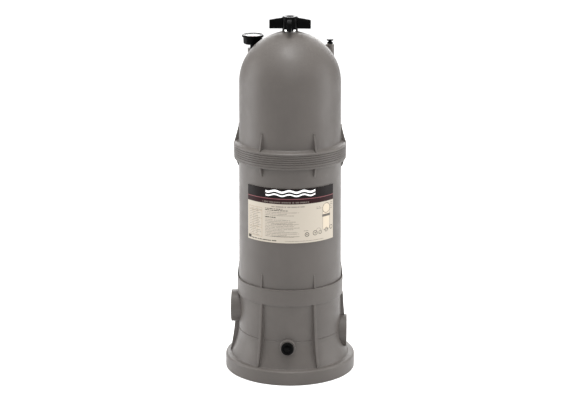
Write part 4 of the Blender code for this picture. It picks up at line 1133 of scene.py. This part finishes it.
def model_pressure_tube(spot):
    """The gauge's curved tube, three quarters of a ring."""
    pipe, bend, sides = 0.0022, 0.015, 12
    section = [(bend + pipe * cos(tau * k / sides), -pipe * sin(tau * k / sides)) for k in range(sides)]
    tube = turned("pressure_tube", section, 48)

    def past_the_end(face):
        centre = face.calc_center_median()
        return 250 < degrees(atan2(centre.y, centre.x)) % 360 < 359

    edit(tube)
    pick("FACE", past_the_end)
    bpy.ops.mesh.delete(type="FACE")
    bpy.ops.mesh.select_all(action="SELECT")
    bpy.ops.mesh.fill_holes(sides=sides)
    face_out()
    leave()
    place(tube, (spot[0], spot[1], middle("gauge_movement").z))
    rides(smooth(tube), "head", BRASS, "brass", "gauge_movement")


def bezel_ridge(radius, height, half):
    """One grip ridge on the bezel's side, at the front."""
    wide = 0.0006
    rows = ((height - half, -0.0006), (height - half + 0.0006, -0.0001),
            (height + half - 0.0006, -0.0001), (height + half, -0.0006))
    sections = []
    for z, out in rows:
        points = ((wide, -0.0008), (wide * 0.5, out), (-wide * 0.5, out), (-wide, -0.0008))
        sections.append([Vector((x, -(radius + r), z)) for x, r in points])
    return drawn("bezel_ridges", sections)


def tick(name, near, far, half, height):
    """A raised mark on the dial, lying along -y."""
    return drawn(name, [[
        Vector((x, -r, z)) for x, r in ((half, near), (half, far), (-half, far), (-half, near))
    ] for z in (height - 0.0001, height + 0.00008)])


def model_dial(spot, inside):
    low, high = box("gauge_dial")
    top = high.z
    face = washer("dial_plate", (0.0001, 0.0002), 0.0016, inside - GAP, low.z, top, 72, spot)
    rides(face, "head", DIAL_WHITE, "dial_white", "gauge_dial")
    marks = []
    count, far, size, thickness, ring = 30, 0.0212, 0.0042, 0.00016, 0.0130
    for k in range(count + 1):
        angle = NEEDLE_START - NEEDLE_SWEEP * k / count
        major = k % 5 == 0
        mark = tick("dial_marks", 0.0168 if major else 0.0188, far, 0.00035 if major else 0.00016, top)
        marks.append(place(mark, spot, (0, 0, radians(angle + 90))))
        if major:
            at = (spot[0] + ring * cos(radians(angle)), spot[1] + ring * sin(radians(angle)), top)
            marks.append(lettering("dial_figures", str(2 * k), size, thickness, at, (0, 0, 0)))
    rides(joined(*marks), "head", DIAL_BLACK, "dial_white")
    low, high = box("gauge_needle")
    z = GAUGE_RIM - 0.0010
    sections = []
    for x, half in ((-0.0075, 0.0014), (-0.0030, 0.0010), (0.0, 0.0012), (0.012, 0.0007), (0.0195, 0.00015)):
        sections.append([Vector((x, y, z + h)) for y, h in
                         ((half, -0.0002), (half, 0.0002), (-half, 0.0002), (-half, -0.0002))])
    pointer = place(drawn("pointer_blade", sections), spot, (0, 0, radians(NEEDLE_START)))
    hub = turned("pointer_hub", [
        (0, GAUGE_RIM - 0.0004),
        (0.0022, GAUGE_RIM - 0.0005, 0.0004),
        (0.0026, GAUGE_RIM - 0.0016, 0.0002),
        (0.0010, GAUGE_RIM - 0.0016),
        (0.0010, low.z),
        (0, low.z),
    ], 32, spot)
    rides(joined(pointer, hub), "needle", NEEDLE_RED, "needle_red", "gauge_needle")


# ---- air relief valve --------------------------------------------------------------------------------------


def model_relief():
    spot = (VALVE.x, VALVE.y, 0)
    low, high = box("relief_screw")
    radius = (high.x - low.x) / 2
    under = box("relief_seal")[1].z + GAP
    top = high.z
    screw = turned("relief_screw_head", [
        (0, top - 0.0006),
        (radius - 0.0030, top, 0.0006),
        (radius, top, 0.0011),
        (radius, top - 0.0036, 0.0008),
        (radius - 0.0038, top - 0.0044, 0.0010),
        (radius - 0.0038, under + 0.0034, 0.0010),
        (radius - 0.0008, under + 0.0026, 0.0006),
        (radius - 0.0008, under, 0.0006),
        (0.0033, under, 0.0003),
        (0.0033, VALVE_BOSS_Z - 0.020),
        (0.0018, VALVE_BOSS_Z - 0.024, 0.0004),
        (0, VALVE_BOSS_Z - 0.024),
    ], ROUND, spot)
    ridge = knurl("relief_knurl", radius + 0.0009, top - 0.0034, top - 0.0008, 0.0009, 0.0004)
    ridges = around(ridge, evenly(24))
    ridges = [place(each, spot) for each in ridges]
    spiral = thread("relief_thread", 0.0033, 0.0006, VALVE_PITCH, VALVE_BOSS_Z - 0.019, VALVE_BOSS_Z - 0.001,
                    steps=24, at=spot)
    rides(smooth(joined(screw, *ridges, spiral), 38), "relief_spindle", BLACK, "black_plastic", "relief_screw")
    low, high = box("relief_seal")
    ring = washer("relief_washer_ring", (0.0003, 0.0005), 0.0043, 0.0070, low.z, high.z, ROUND, spot)
    rides(ring, "relief_washer", RUBBER, "rubber", "relief_seal")
    low, high = box("relief_seat")
    seat = turned("relief_seat_bush", [
        (0.0043, high.z, 0.0006),
        (0.0068, high.z, 0.0004),
        *[(0.0068 - (0.0005 if k % 2 else 0), high.z - 0.002 - 0.0012 * k) for k in range(16)],
        (0.0068, low.z, 0.0005),
        (0.0043, low.z, 0.0003),
    ], 36, spot)
    rides(seat, "head", BRASS, "brass", "relief_seat")


# ---- plumbing inside the vessel ----------------------------------------------------------------------------


def model_outlet():
    low, high = box("outlet_manifold")
    bowl, funnel, tail = 0.042, 0.037, 0.0254
    body = turned("outlet_manifold_body", [
        (bowl + 0.0007, high.z, 0.0006),
        (bowl + 0.0047, high.z, 0.0016),
        (bowl + 0.0057, high.z - 0.0020, 0.0006),
        (bowl + 0.0057, high.z - 0.0150, 0.0010),
        (high.y, high.z - 0.0150, 0.0012),
        (high.y, high.z - 0.0220, 0.0012),
        (bowl + 0.0040, high.z - 0.0285, 0.0030),
        (bowl, high.z - 0.0400, 0.0040),
        (bowl, low.z, 0.0025),
        (0.0163, low.z, 0.0006),
        (0.0163, low.z + 0.0060, 0.0008),
        (funnel, low.z + 0.0060, 0.0040),
        (funnel, high.z - 0.0320, 0.0030),
    ], 96)
    pipe = turned("tail_pipe", [
        (0, high.x),
        (tail + 0.0013, high.x, 0.0008),
        (tail + 0.0013, high.x - 0.0026, 0.0004),
        (tail, high.x - 0.0028, 0.0002),
        (tail, high.x - 0.0074, 0.0002),
        (tail + 0.0013, high.x - 0.0076, 0.0004),
        (tail + 0.0013, high.x - 0.0110, 0.0008),
        (tail, high.x - 0.0120),
        (tail, funnel + 0.0030),
        (0, funnel + 0.0030),
    ], 60, (0, 0, OUTLET_Z), TO_RIGHT)
    combine(body, pipe)
    cut(body, plug("tail_bore", 0.0212, 0.018, high.x + 0.002, OUTLET_Z, TO_RIGHT))
    rows = [
        (high.z - 0.0200, bowl - 0.0010, high.y - 0.0030),
        (high.z - 0.0260, bowl - 0.0010, high.y - 0.0060),
        (high.z - 0.0420, bowl - 0.0010, bowl + 0.0060),
        (high.z - 0.0560, bowl - 0.0010, bowl + 0.0016),
    ]
    stays = around(web("manifold_stays", rows, 0.0016, 0.0006, 0.0005), evenly(8, 22.5))
    rides(smooth(joined(body, *stays), 32), "vessel", WHITE, "white_plastic", "outlet_manifold")
    low, high = box("outlet_seal")
    half = (high.x - low.x) / 2
    ring = o_ring("tail_o_ring", high.y - half, half, (low.x + high.x) / 2, 72, (0, 0, OUTLET_Z), TO_RIGHT)
    rides(ring, "vessel", RUBBER, "rubber", "outlet_seal")


def model_diffuser():
    """A capped sleeve in the inlet, open above and below, which turns the flow off the element."""
    low, high = box("inlet_diffuser")
    outer, face, back = high.y, -low.x, -high.x
    inner = outer - 0.0035
    sleeve = turned("inlet_diffuser_sleeve", [
        (0, back + 0.0035),
        (inner, back + 0.0035, 0.0030),
        (inner, face, 0.0008),
        (outer, face, 0.0008),
        (outer, back + 0.0020, 0.0016),
        (outer - 0.0020, back, 0.0008),
        (0, back),
    ], 72, (0, 0, INLET_Z), TO_LEFT)
    near, far, wide, corner = back + 0.0060, back + 0.0270, inner * 0.75, 0.0030
    loop = []
    for side, end, angles in ((1, 0, (0, 30, 60, 90)), (-1, 0, (90, 60, 30, 0)),
                              (-1, 1, (0, 30, 60, 90)), (1, 1, (90, 60, 30, 0))):
        for a in map(radians, angles):
            trim = corner * (1 - sin(a))
            loop.append((side * (wide - corner * (1 - cos(a))), far - trim if end else near + trim))
    window = drawn("window_cutter", [
        [Vector((-x, y, INLET_Z + z)) for y, x in loop] for z in (-2 * outer, 2 * outer)
    ])
    cut(sleeve, window)
    rides(smooth(sleeve, 32), "vessel", WHITE, "white_plastic", "inlet_diffuser")


# ---- filter element ----------------------------------------------------------------------------------------


def end_cap(name, node, up):
    """A cast end cap: a ring with a raised lip at each edge and the element's seat round its hole."""
    low, high = box(node)
    outer, hole = high.x, 0.0483
    face, back = (high.z, low.z) if up else (low.z, high.z)
    sink = -0.0014 if up else 0.0014
    cap = turned(name, [
        (hole, back, 0.0006),
        (hole, face, 0.0010),
        (hole + 0.0060, face, 0.0010),
        (hole + 0.0075, face + sink, 0.0010),
        (outer - 0.0065, face + sink, 0.0010),
        (outer - 0.0050, face, 0.0010),
        (outer, face, 0.0018),
        (outer, back, 0.0010),
    ], 120)
    rides(cap, "element", END_CAP, "end_cap", node)


def model_pleats():
    """One sheet in narrow folds, its folds a little uneven as a pleating machine leaves them."""
    low, high = box("element_pleats")
    folds, sheet = 150, 0.0006
    outer, inner = high.x - sheet / 2, 0.0528
    tips = ((-0.09, outer - 0.0006), (0.0, outer), (0.09, outer - 0.0006),
            (0.34, inner + 0.0006), (0.5, inner), (0.66, inner + 0.0006))
    pleats = start_ring("element_pleat_sheet", outer, low.z, len(tips) * folds)
    shape = bmesh.from_edit_mesh(pleats.data)
    for vertex in shape.verts:
        fold, tip = divmod(vertex.index, len(tips))
        share, radius = tips[tip]
        sway = 0.10 * sin(12.9898 * fold) if tip < 3 else 0.04 * sin(7.31 * fold)
        angle = tau * (fold + share + sway) / folds
        vertex.co.x, vertex.co.y = radius * cos(angle), radius * sin(angle)
    bmesh.update_edit_mesh(pleats.data)
    bpy.ops.mesh.extrude_region_move(TRANSFORM_OT_translate={"value": (0, 0, high.z - low.z)})
    face_out()
    leave()
    use(pleats, "SOLIDIFY", thickness=sheet, offset=0.0)
    rides(smooth(pleats, 40), "element", MEDIA, "filter_media", "element_pleats")
    for k in (1, 2, 3):
        low, high = box(f"element_band_{k}")
        band = washer(f"pleat_band_{k}", (0.0002, 0.0003), high.x - 0.0009, high.x, low.z, high.z, folds)
        rides(band, "element", MEDIA, "filter_media", f"element_band_{k}")


def model_core():
    """The slotted tube that the pleats press on: rows of slots, each row half a step round."""
    low, high = box("element_core")
    wall, columns, rows, sides = 0.0045, 12, 22, 72
    middle_radius = high.x - wall / 2
    step = (high.z - low.z) / rows
    core = start_ring("element_core_tube", middle_radius, low.z, sides)
    z = low.z
    for k in range(rows):
        for level in (low.z + step * (k + 0.16), low.z + step * (k + 0.84), low.z + step * (k + 1)):
            if level - z > 0.0001:
                next_ring((middle_radius, z), (middle_radius, level))
                z = level

    def is_slot(face):
        spot = face.calc_center_median()
        row = int((spot.z - low.z) / step)
        share = (spot.z - low.z) / step - row
        turn = degrees(atan2(spot.y, spot.x)) % 360 / (360 / columns) + 0.5 * (row % 2)
        return 0.16 < share < 0.84 and turn % 1 < 0.66

    pick("FACE", is_slot)
    bpy.ops.mesh.delete(type="FACE")
    face_out()
    leave()
    use(core, "SOLIDIFY", thickness=wall, offset=0.0)
    use(core, "BEVEL", width=0.0005, segments=2, limit_method="ANGLE", angle_limit=radians(40))
    rides(smooth(core, 32), "element", WHITE, "white_plastic", "element_core")


def model_retainer():
    low, high = box("element_retainer")
    plate = turned("element_retainer_cap", [
        (ROD_WAY, high.z, 0.0006),
        (0.0140, high.z, 0.0010),
        (0.0165, high.z - 0.0030, 0.0010),
        (0.0520, high.z - 0.0034, 0.0010),
        (0.0530, high.z - 0.0020, 0.0006),
        (high.x, high.z - 0.0020, 0.0012),
        (high.x, high.z - 0.0077, 0.0008),
        (0.0480, high.z - 0.0077, 0.0006),
        (0.0480, low.z, 0.0014),
        (ROD_WAY, low.z, 0.0006),
    ], 96)
    rib_bar = drawn("retainer_ribs", [[
        Vector((x, -r, z)) for x, r in ((wide, 0.0120), (wide, 0.0526), (-wide, 0.0526), (-wide, 0.0120))
    ] for z, wide in ((high.z - 0.0040, 0.0013), (high.z - 0.0018, 0.0012), (high.z - 0.0013, 0.0008))])
    ribs = around(rib_bar, evenly(6))
    rides(smooth(joined(plate, *ribs), 32), "element", WHITE, "white_plastic", "element_retainer")


def model_element():
    end_cap("element_top_casting", "element_top_cap", True)
    end_cap("element_bottom_casting", "element_bottom_cap", False)
    model_pleats()
    model_core()
    model_retainer()


# ---- label -------------------------------------------------------------------------------------------------

LABEL_ANGLE = 108
LABEL_TURN = 3.5                               # its middle, from the front towards +x
LABEL_WIDTH = radians(LABEL_ANGLE) * TANK_RADIUS
LABEL_LOW = box("label")[0].z
LABEL_HEIGHT = box("label")[1].z - LABEL_LOW


def above(tree, value, limit):
    return math(tree, "GREATER_THAN", value, limit)


def below(tree, value, limit):
    return math(tree, "LESS_THAN", value, limit)


def within(tree, value, low, high):
    """1 where a value lies between two others, and 0 elsewhere."""
    return math(tree, "MULTIPLY", above(tree, value, low), below(tree, value, high))


def all_of(tree, *masks):
    whole = masks[0]
    for mask in masks[1:]:
        whole = math(tree, "MULTIPLY", whole, mask)
    return whole


def make_patch():
    """A printed oblong."""
    tree, given, result = group("Printed patch", "Mask", Left=0.0, Right=0.0, Low=0.0, High=0.0)
    at = add_node(tree, "SeparateXYZ", {0: given["Place"]}).outputs
    across = within(tree, at["X"], given["Left"], given["Right"])
    up = within(tree, at["Y"], given["Low"], given["High"])
    tree.links.new(all_of(tree, across, up), result["Mask"])
    return tree


def make_print_lines():
    """Lines of small print: broken into words, each line with its own length."""
    tree, given, result = group("Lines of print", "Mask", Left=0.0, Right=0.0, Low=0.0, High=0.0,
                                Pitch=0.0, Weight=0.0, Word=0.0)
    at = add_node(tree, "SeparateXYZ", {0: given["Place"]}).outputs
    line = math(tree, "DIVIDE", math(tree, "SUBTRACT", at["Y"], given["Low"]), given["Pitch"])
    number = math(tree, "FLOOR", line)
    length = add_node(tree, "TexWhiteNoise", {"W": number}, noise_dimensions="1D").outputs["Value"]
    room = math(tree, "SUBTRACT", given["Right"], given["Left"])
    end = math(tree, "MULTIPLY_ADD", room, spread(tree, length, 0.0, 1.0, 0.55, 1.0), given["Left"])
    letter = math(tree, "DIVIDE", at["X"], given["Word"])
    spot = add_node(tree, "CombineXYZ", {"X": letter, "Y": math(tree, "MULTIPLY", number, 7.3)}).outputs[0]
    tree.links.new(all_of(
        tree,
        below(tree, math(tree, "FRACT", line), given["Weight"]),
        above(tree, noise(tree, spot, 1.0, 2.0, dimensions="2D"), 0.42),
        within(tree, at["X"], given["Left"], end),
        within(tree, at["Y"], given["Low"], given["High"]),
    ), result["Mask"])
    return tree


def make_ring():
    """A printed circle line."""
    tree, given, result = group("Printed ring", "Mask", Across=0.0, Up=0.0, Radius=0.0, Thick=0.0)
    heart = add_node(tree, "CombineXYZ", {"X": given["Across"], "Y": given["Up"]}).outputs[0]
    away = add_node(tree, "VectorMath", {0: given["Place"], 1: heart}, operation="DISTANCE").outputs["Value"]
    off = math(tree, "ABSOLUTE", math(tree, "SUBTRACT", away, given["Radius"]))
    tree.links.new(below(tree, off, math(tree, "MULTIPLY", given["Thick"], 0.5)), result["Mask"])
    return tree


def make_ripple():
    """A printed wave line."""
    tree, given, result = group("Printed ripple", "Mask", Left=0.0, Right=0.0, Middle=0.0, Swell=0.0,
                                Length=0.0, Thick=0.0)
    at = add_node(tree, "SeparateXYZ", {0: given["Place"]}).outputs
    wave = math(tree, "SINE", math(tree, "MULTIPLY", math(tree, "DIVIDE", at["X"], given["Length"]), tau))
    height = math(tree, "MULTIPLY_ADD", wave, given["Swell"], given["Middle"])
    off = math(tree, "ABSOLUTE", math(tree, "SUBTRACT", at["Y"], height))
    stroke = below(tree, off, math(tree, "MULTIPLY", given["Thick"], 0.5))
    across = within(tree, at["X"], given["Left"], given["Right"])
    tree.links.new(all_of(tree, stroke, across), result["Mask"])
    return tree


def make_printed_label():
    """Cream film with a black heading, a red rule, a table, lines of print and a small diagram.

    Every figure of the print is a share of the film's width or height; weights and strokes are metres.
    """
    cream = (0.36, 0.325, 0.275, 1)
    black, maroon, red = (0.008, 0.006, 0.006, 1), (0.018, 0.006, 0.007, 1), (0.16, 0.060, 0.066, 1)
    white, grey, dark = (0.80, 0.80, 0.79, 1), (0.20, 0.18, 0.155, 1), (0.045, 0.040, 0.035, 1)
    tan, dull, pale = (0.25, 0.19, 0.13, 1), (0.10, 0.088, 0.078, 1), (0.45, 0.39, 0.31, 1)
    material, tree, shader, spot = finish("Printed label film", (0.37, 0.335, 0.282), 0.40,
                                          Specular_IOR_Level=0.06)
    film = stretched(tree, add_node(tree, "TexCoord").outputs["UV"], (LABEL_WIDTH, LABEL_HEIGHT, 0))
    patch, lines, ring, ripple = make_patch(), make_print_lines(), make_ring(), make_ripple()
    wide, tall = LABEL_WIDTH, LABEL_HEIGHT
    heading = 0.715

    def oblong(left, right, low, high):
        return patch, {"Left": wide * left, "Right": wide * right, "Low": tall * low, "High": tall * high}

    def print_in(left, right, low, high, pitch, weight=0.5, word=0.0016):
        return lines, {"Left": wide * left, "Right": wide * right, "Low": tall * low, "High": tall * high,
                       "Pitch": pitch, "Weight": weight, "Word": word}

    def circle(across, up, radius, thick=0.0008):
        return ring, {"Across": wide * across, "Up": tall * up, "Radius": radius, "Thick": thick}

    def wave(up, swell, thick):
        return ripple, {"Left": wide * 0.235, "Right": wide * 0.755, "Middle": tall * up, "Swell": swell,
                        "Length": wide * 0.52 / 3.5, "Thick": thick}

    table = [
        (oblong(0.02, 0.195, 0.085, 0.625), tan),
        (oblong(0.0235, 0.1915, 0.091, 0.619), cream),
        (oblong(0.0235, 0.1915, 0.560, 0.566), tan),
        (oblong(0.0235, 0.1915, 0.420, 0.425), tan),
        (oblong(0.0235, 0.1915, 0.250, 0.255), tan),
        (oblong(0.078, 0.081, 0.091, 0.619), tan),
        (oblong(0.133, 0.136, 0.091, 0.619), tan),
        (print_in(0.03, 0.19, 0.10, 0.61, 0.0046, 0.40, 0.0020), grey),
    ]
    small_print = [
        (print_in(0.30, 0.72, 0.655, 0.683, 0.0050, 0.6, 0.0034), grey),
        (print_in(0.23, 0.53, 0.590, 0.635, 0.0040, 0.5, 0.0022), dark),
        (print_in(0.23, 0.60, 0.500, 0.580, 0.0040, 0.42), grey),
        (print_in(0.23, 0.37, 0.460, 0.485, 0.0044, 0.55, 0.0022), dark),
        (print_in(0.23, 0.60, 0.110, 0.445, 0.0040, 0.42), grey),
        (oblong(0.30, 0.58, 0.345, 0.352), grey),
        (oblong(0.30, 0.585, 0.118, 0.124), dark),
    ]
    diagram = [
        (oblong(0.845, 0.945, 0.200, 0.600), grey),
        (oblong(0.850, 0.940, 0.205, 0.595), pale),
        (oblong(0.840, 0.950, 0.435, 0.480), dull),
        (circle(0.895, 0.590, wide * 0.0245, wide * 0.049), pale),
        (circle(0.895, 0.590, wide * 0.050, 0.0012), dark),
        (oblong(0.865, 0.925, 0.185, 0.205), grey),
        (circle(0.665, 0.150, 0.0052, 0.0016), dark),
        (circle(0.665, 0.150, 0.0016, 0.0012), dark),
        (circle(0.755, 0.165, 0.0060, 0.0014), dark),
        (circle(0.795, 0.195, 0.0072, 0.0010), grey),
        (circle(0.815, 0.165, 0.0044, 0.0012), dark),
        (circle(0.895, 0.190, 0.0050, 0.0014), dark),
        (circle(0.965, 0.215, 0.0050, 0.0014), dark),
        (circle(0.755, 0.165, 0.0014, 0.0012), dark),
        (print_in(0.63, 0.69, 0.215, 0.240, 0.0040, 0.5), grey),
        (print_in(0.77, 0.84, 0.600, 0.640, 0.0040, 0.5), grey),
        (print_in(0.95, 0.99, 0.560, 0.700, 0.0050, 0.5), grey),
    ]
    foot = [
        (oblong(0.012, 0.054, 0.032, 0.086), dark),
        (print_in(0.06, 0.42, 0.030, 0.052, 0.0040, 0.6, 0.0030), dark),
        (print_in(0.44, 0.95, 0.030, 0.045, 0.0040, 0.4), grey),
    ]
    head = [
        (oblong(0.0, 1.0, heading, 1.0), black),
        (oblong(0.0, 1.0, 0.722, 0.790), maroon),
        (oblong(0.0, 1.0, 0.802, 0.815), red),
        (print_in(0.20, 0.80, 0.735, 0.765, 0.0050, 0.7, 0.0040), dull),
        (wave(0.945, 0.0022, 0.0056), white),
        (wave(0.880, 0.0022, 0.0040), white),
    ]
    ink = cream
    for (effect, inputs), colour in (*table, *small_print, *diagram, *foot, *head):
        mask = shared(tree, effect, {"Place": film, **inputs})
        ink = blend(tree, mask, ink, colour)
    settled = shared(tree, DUST, {"Place": spot, "Amount": 0.05})
    tree.links.new(blend(tree, settled, ink, (0.36, 0.33, 0.285, 1)), shader.inputs["Base Color"])
    tree.links.new(shared(tree, TONE, {"Place": spot, "Size": 0.03, "Low": 0.28, "High": 0.42}),
                   shader.inputs["Roughness"])
    bumped(tree, shader, shared(tree, TONE, {"Place": spot, "Size": 0.05}), 0.15, 0.0004)
    return material


def model_label():
    """A film laid round the front of the tank, its print running across and up it."""
    put_down_all()
    bpy.ops.mesh.primitive_grid_add(x_subdivisions=72, y_subdivisions=4, size=1)
    label = bpy.context.object
    label.name = label.data.name = "label_film_sheet"
    edit(label)
    shape = bmesh.from_edit_mesh(label.data)
    for vertex in shape.verts:
        angle = radians(LABEL_ANGLE * vertex.co.x + LABEL_TURN)
        height = LABEL_LOW + LABEL_HEIGHT * (vertex.co.y + 0.5)
        radius = tank_radius_at(height) + 0.0008
        vertex.co = (radius * sin(angle), -radius * cos(angle), height)
    bmesh.update_edit_mesh(label.data)
    bpy.ops.mesh.select_all(action="SELECT")
    bpy.ops.mesh.normals_make_consistent(inside=False)
    leave()
    use(label, "SOLIDIFY", thickness=0.0005, offset=1.0)
    rides(smooth(label, 40), "vessel", make_printed_label(), "label_film", "label")


def tank_radius_at(height):
    """The tank's outside between the band and the rim flange, as model_tank shapes it."""
    waist = (RIM_Z + BAND_TOP) / 2
    if height < waist:
        return TANK_RADIUS - 0.0010 * (height - BAND_TOP) / (waist - BAND_TOP)
    return TANK_RADIUS - 0.0010 - 0.0005 * (height - waist) / (RIM_Z - waist)


# ---- the whole object --------------------------------------------------------------------------------------

model_base()
model_tank()
model_rod()
model_outlet()
model_diffuser()
model_drain()
model_label()
model_head()
model_knob()
model_gauge()
model_relief()
model_element()


# ---- stage -------------------------------------------------------------------------------------------------


def soft_light(name, at, towards, size, watts, colour=(1, 1, 1)):
    data = bpy.data.lights.new(name, "AREA")
    data.shape = "RECTANGLE"
    data.size, data.size_y = size
    data.energy = watts
    data.color = colour
    lamp = bpy.data.objects.new(name, data)
    bpy.context.scene.collection.objects.link(lamp)
    lamp.location = at
    lamp.rotation_euler = (Vector(towards) - Vector(at)).to_track_quat("-Z", "Y").to_euler()


def set_stage():
    put_down_all()
    bpy.ops.mesh.primitive_plane_add(size=60)
    floor = bpy.context.object
    floor.name = "studio_floor"
    paper = bpy.data.materials.new("White paper")
    paper.use_nodes = True
    paper.node_tree.nodes["Principled BSDF"].inputs["Base Color"].default_value = (0.92, 0.92, 0.92, 1)
    paper.node_tree.nodes["Principled BSDF"].inputs["Roughness"].default_value = 0.9
    floor.data.materials.append(paper)
    world = bpy.data.worlds.new("Studio air")
    world.use_nodes = True
    air = world.node_tree
    air.nodes["Background"].inputs["Color"].default_value = (1, 1, 1, 1)
    sky = add_node(air, "SeparateXYZ", {0: add_node(air, "TexCoord").outputs["Generated"]}).outputs["Z"]
    air.links.new(spread(air, sky, 0.0, 1.0, 0.36, 1.80), air.nodes["Background"].inputs["Strength"])
    bpy.context.scene.world = world
    soft_light("overhead", (0.0, -0.5, 3.2), (0, 0, 0.4), (1.0, 1.0), 62)
    soft_light("left_wall", (-2.0, 0.1, 0.8), (0, 0, 0.5), (1.2, 1.8), 34)
    soft_light("right_wall", (2.1, -0.1, 0.8), (0, 0, 0.5), (1.2, 1.8), 31)
    soft_light("back_panel", (0, 3.0, 1.4), (0, 0, 0.5), (3.0, 1.3), 60)
    soft_light("front_fill", (0.2, -1.7, 1.9), (0, 0, 0.7), (1.2, 1.2), 10)


def set_camera():
    data = bpy.data.cameras.new("Camera")
    data.sensor_width = 36
    data.lens = 114.7
    camera = bpy.data.objects.new("Camera", data)
    bpy.context.scene.collection.objects.link(camera)
    camera.location = (0.213, -4.695, 1.742)
    camera.rotation_euler = (radians(90 - 15.3), 0, radians(2.6))
    bpy.context.scene.camera = camera


set_stage()
set_camera()
bpy.context.scene.view_settings.view_transform = "Standard"
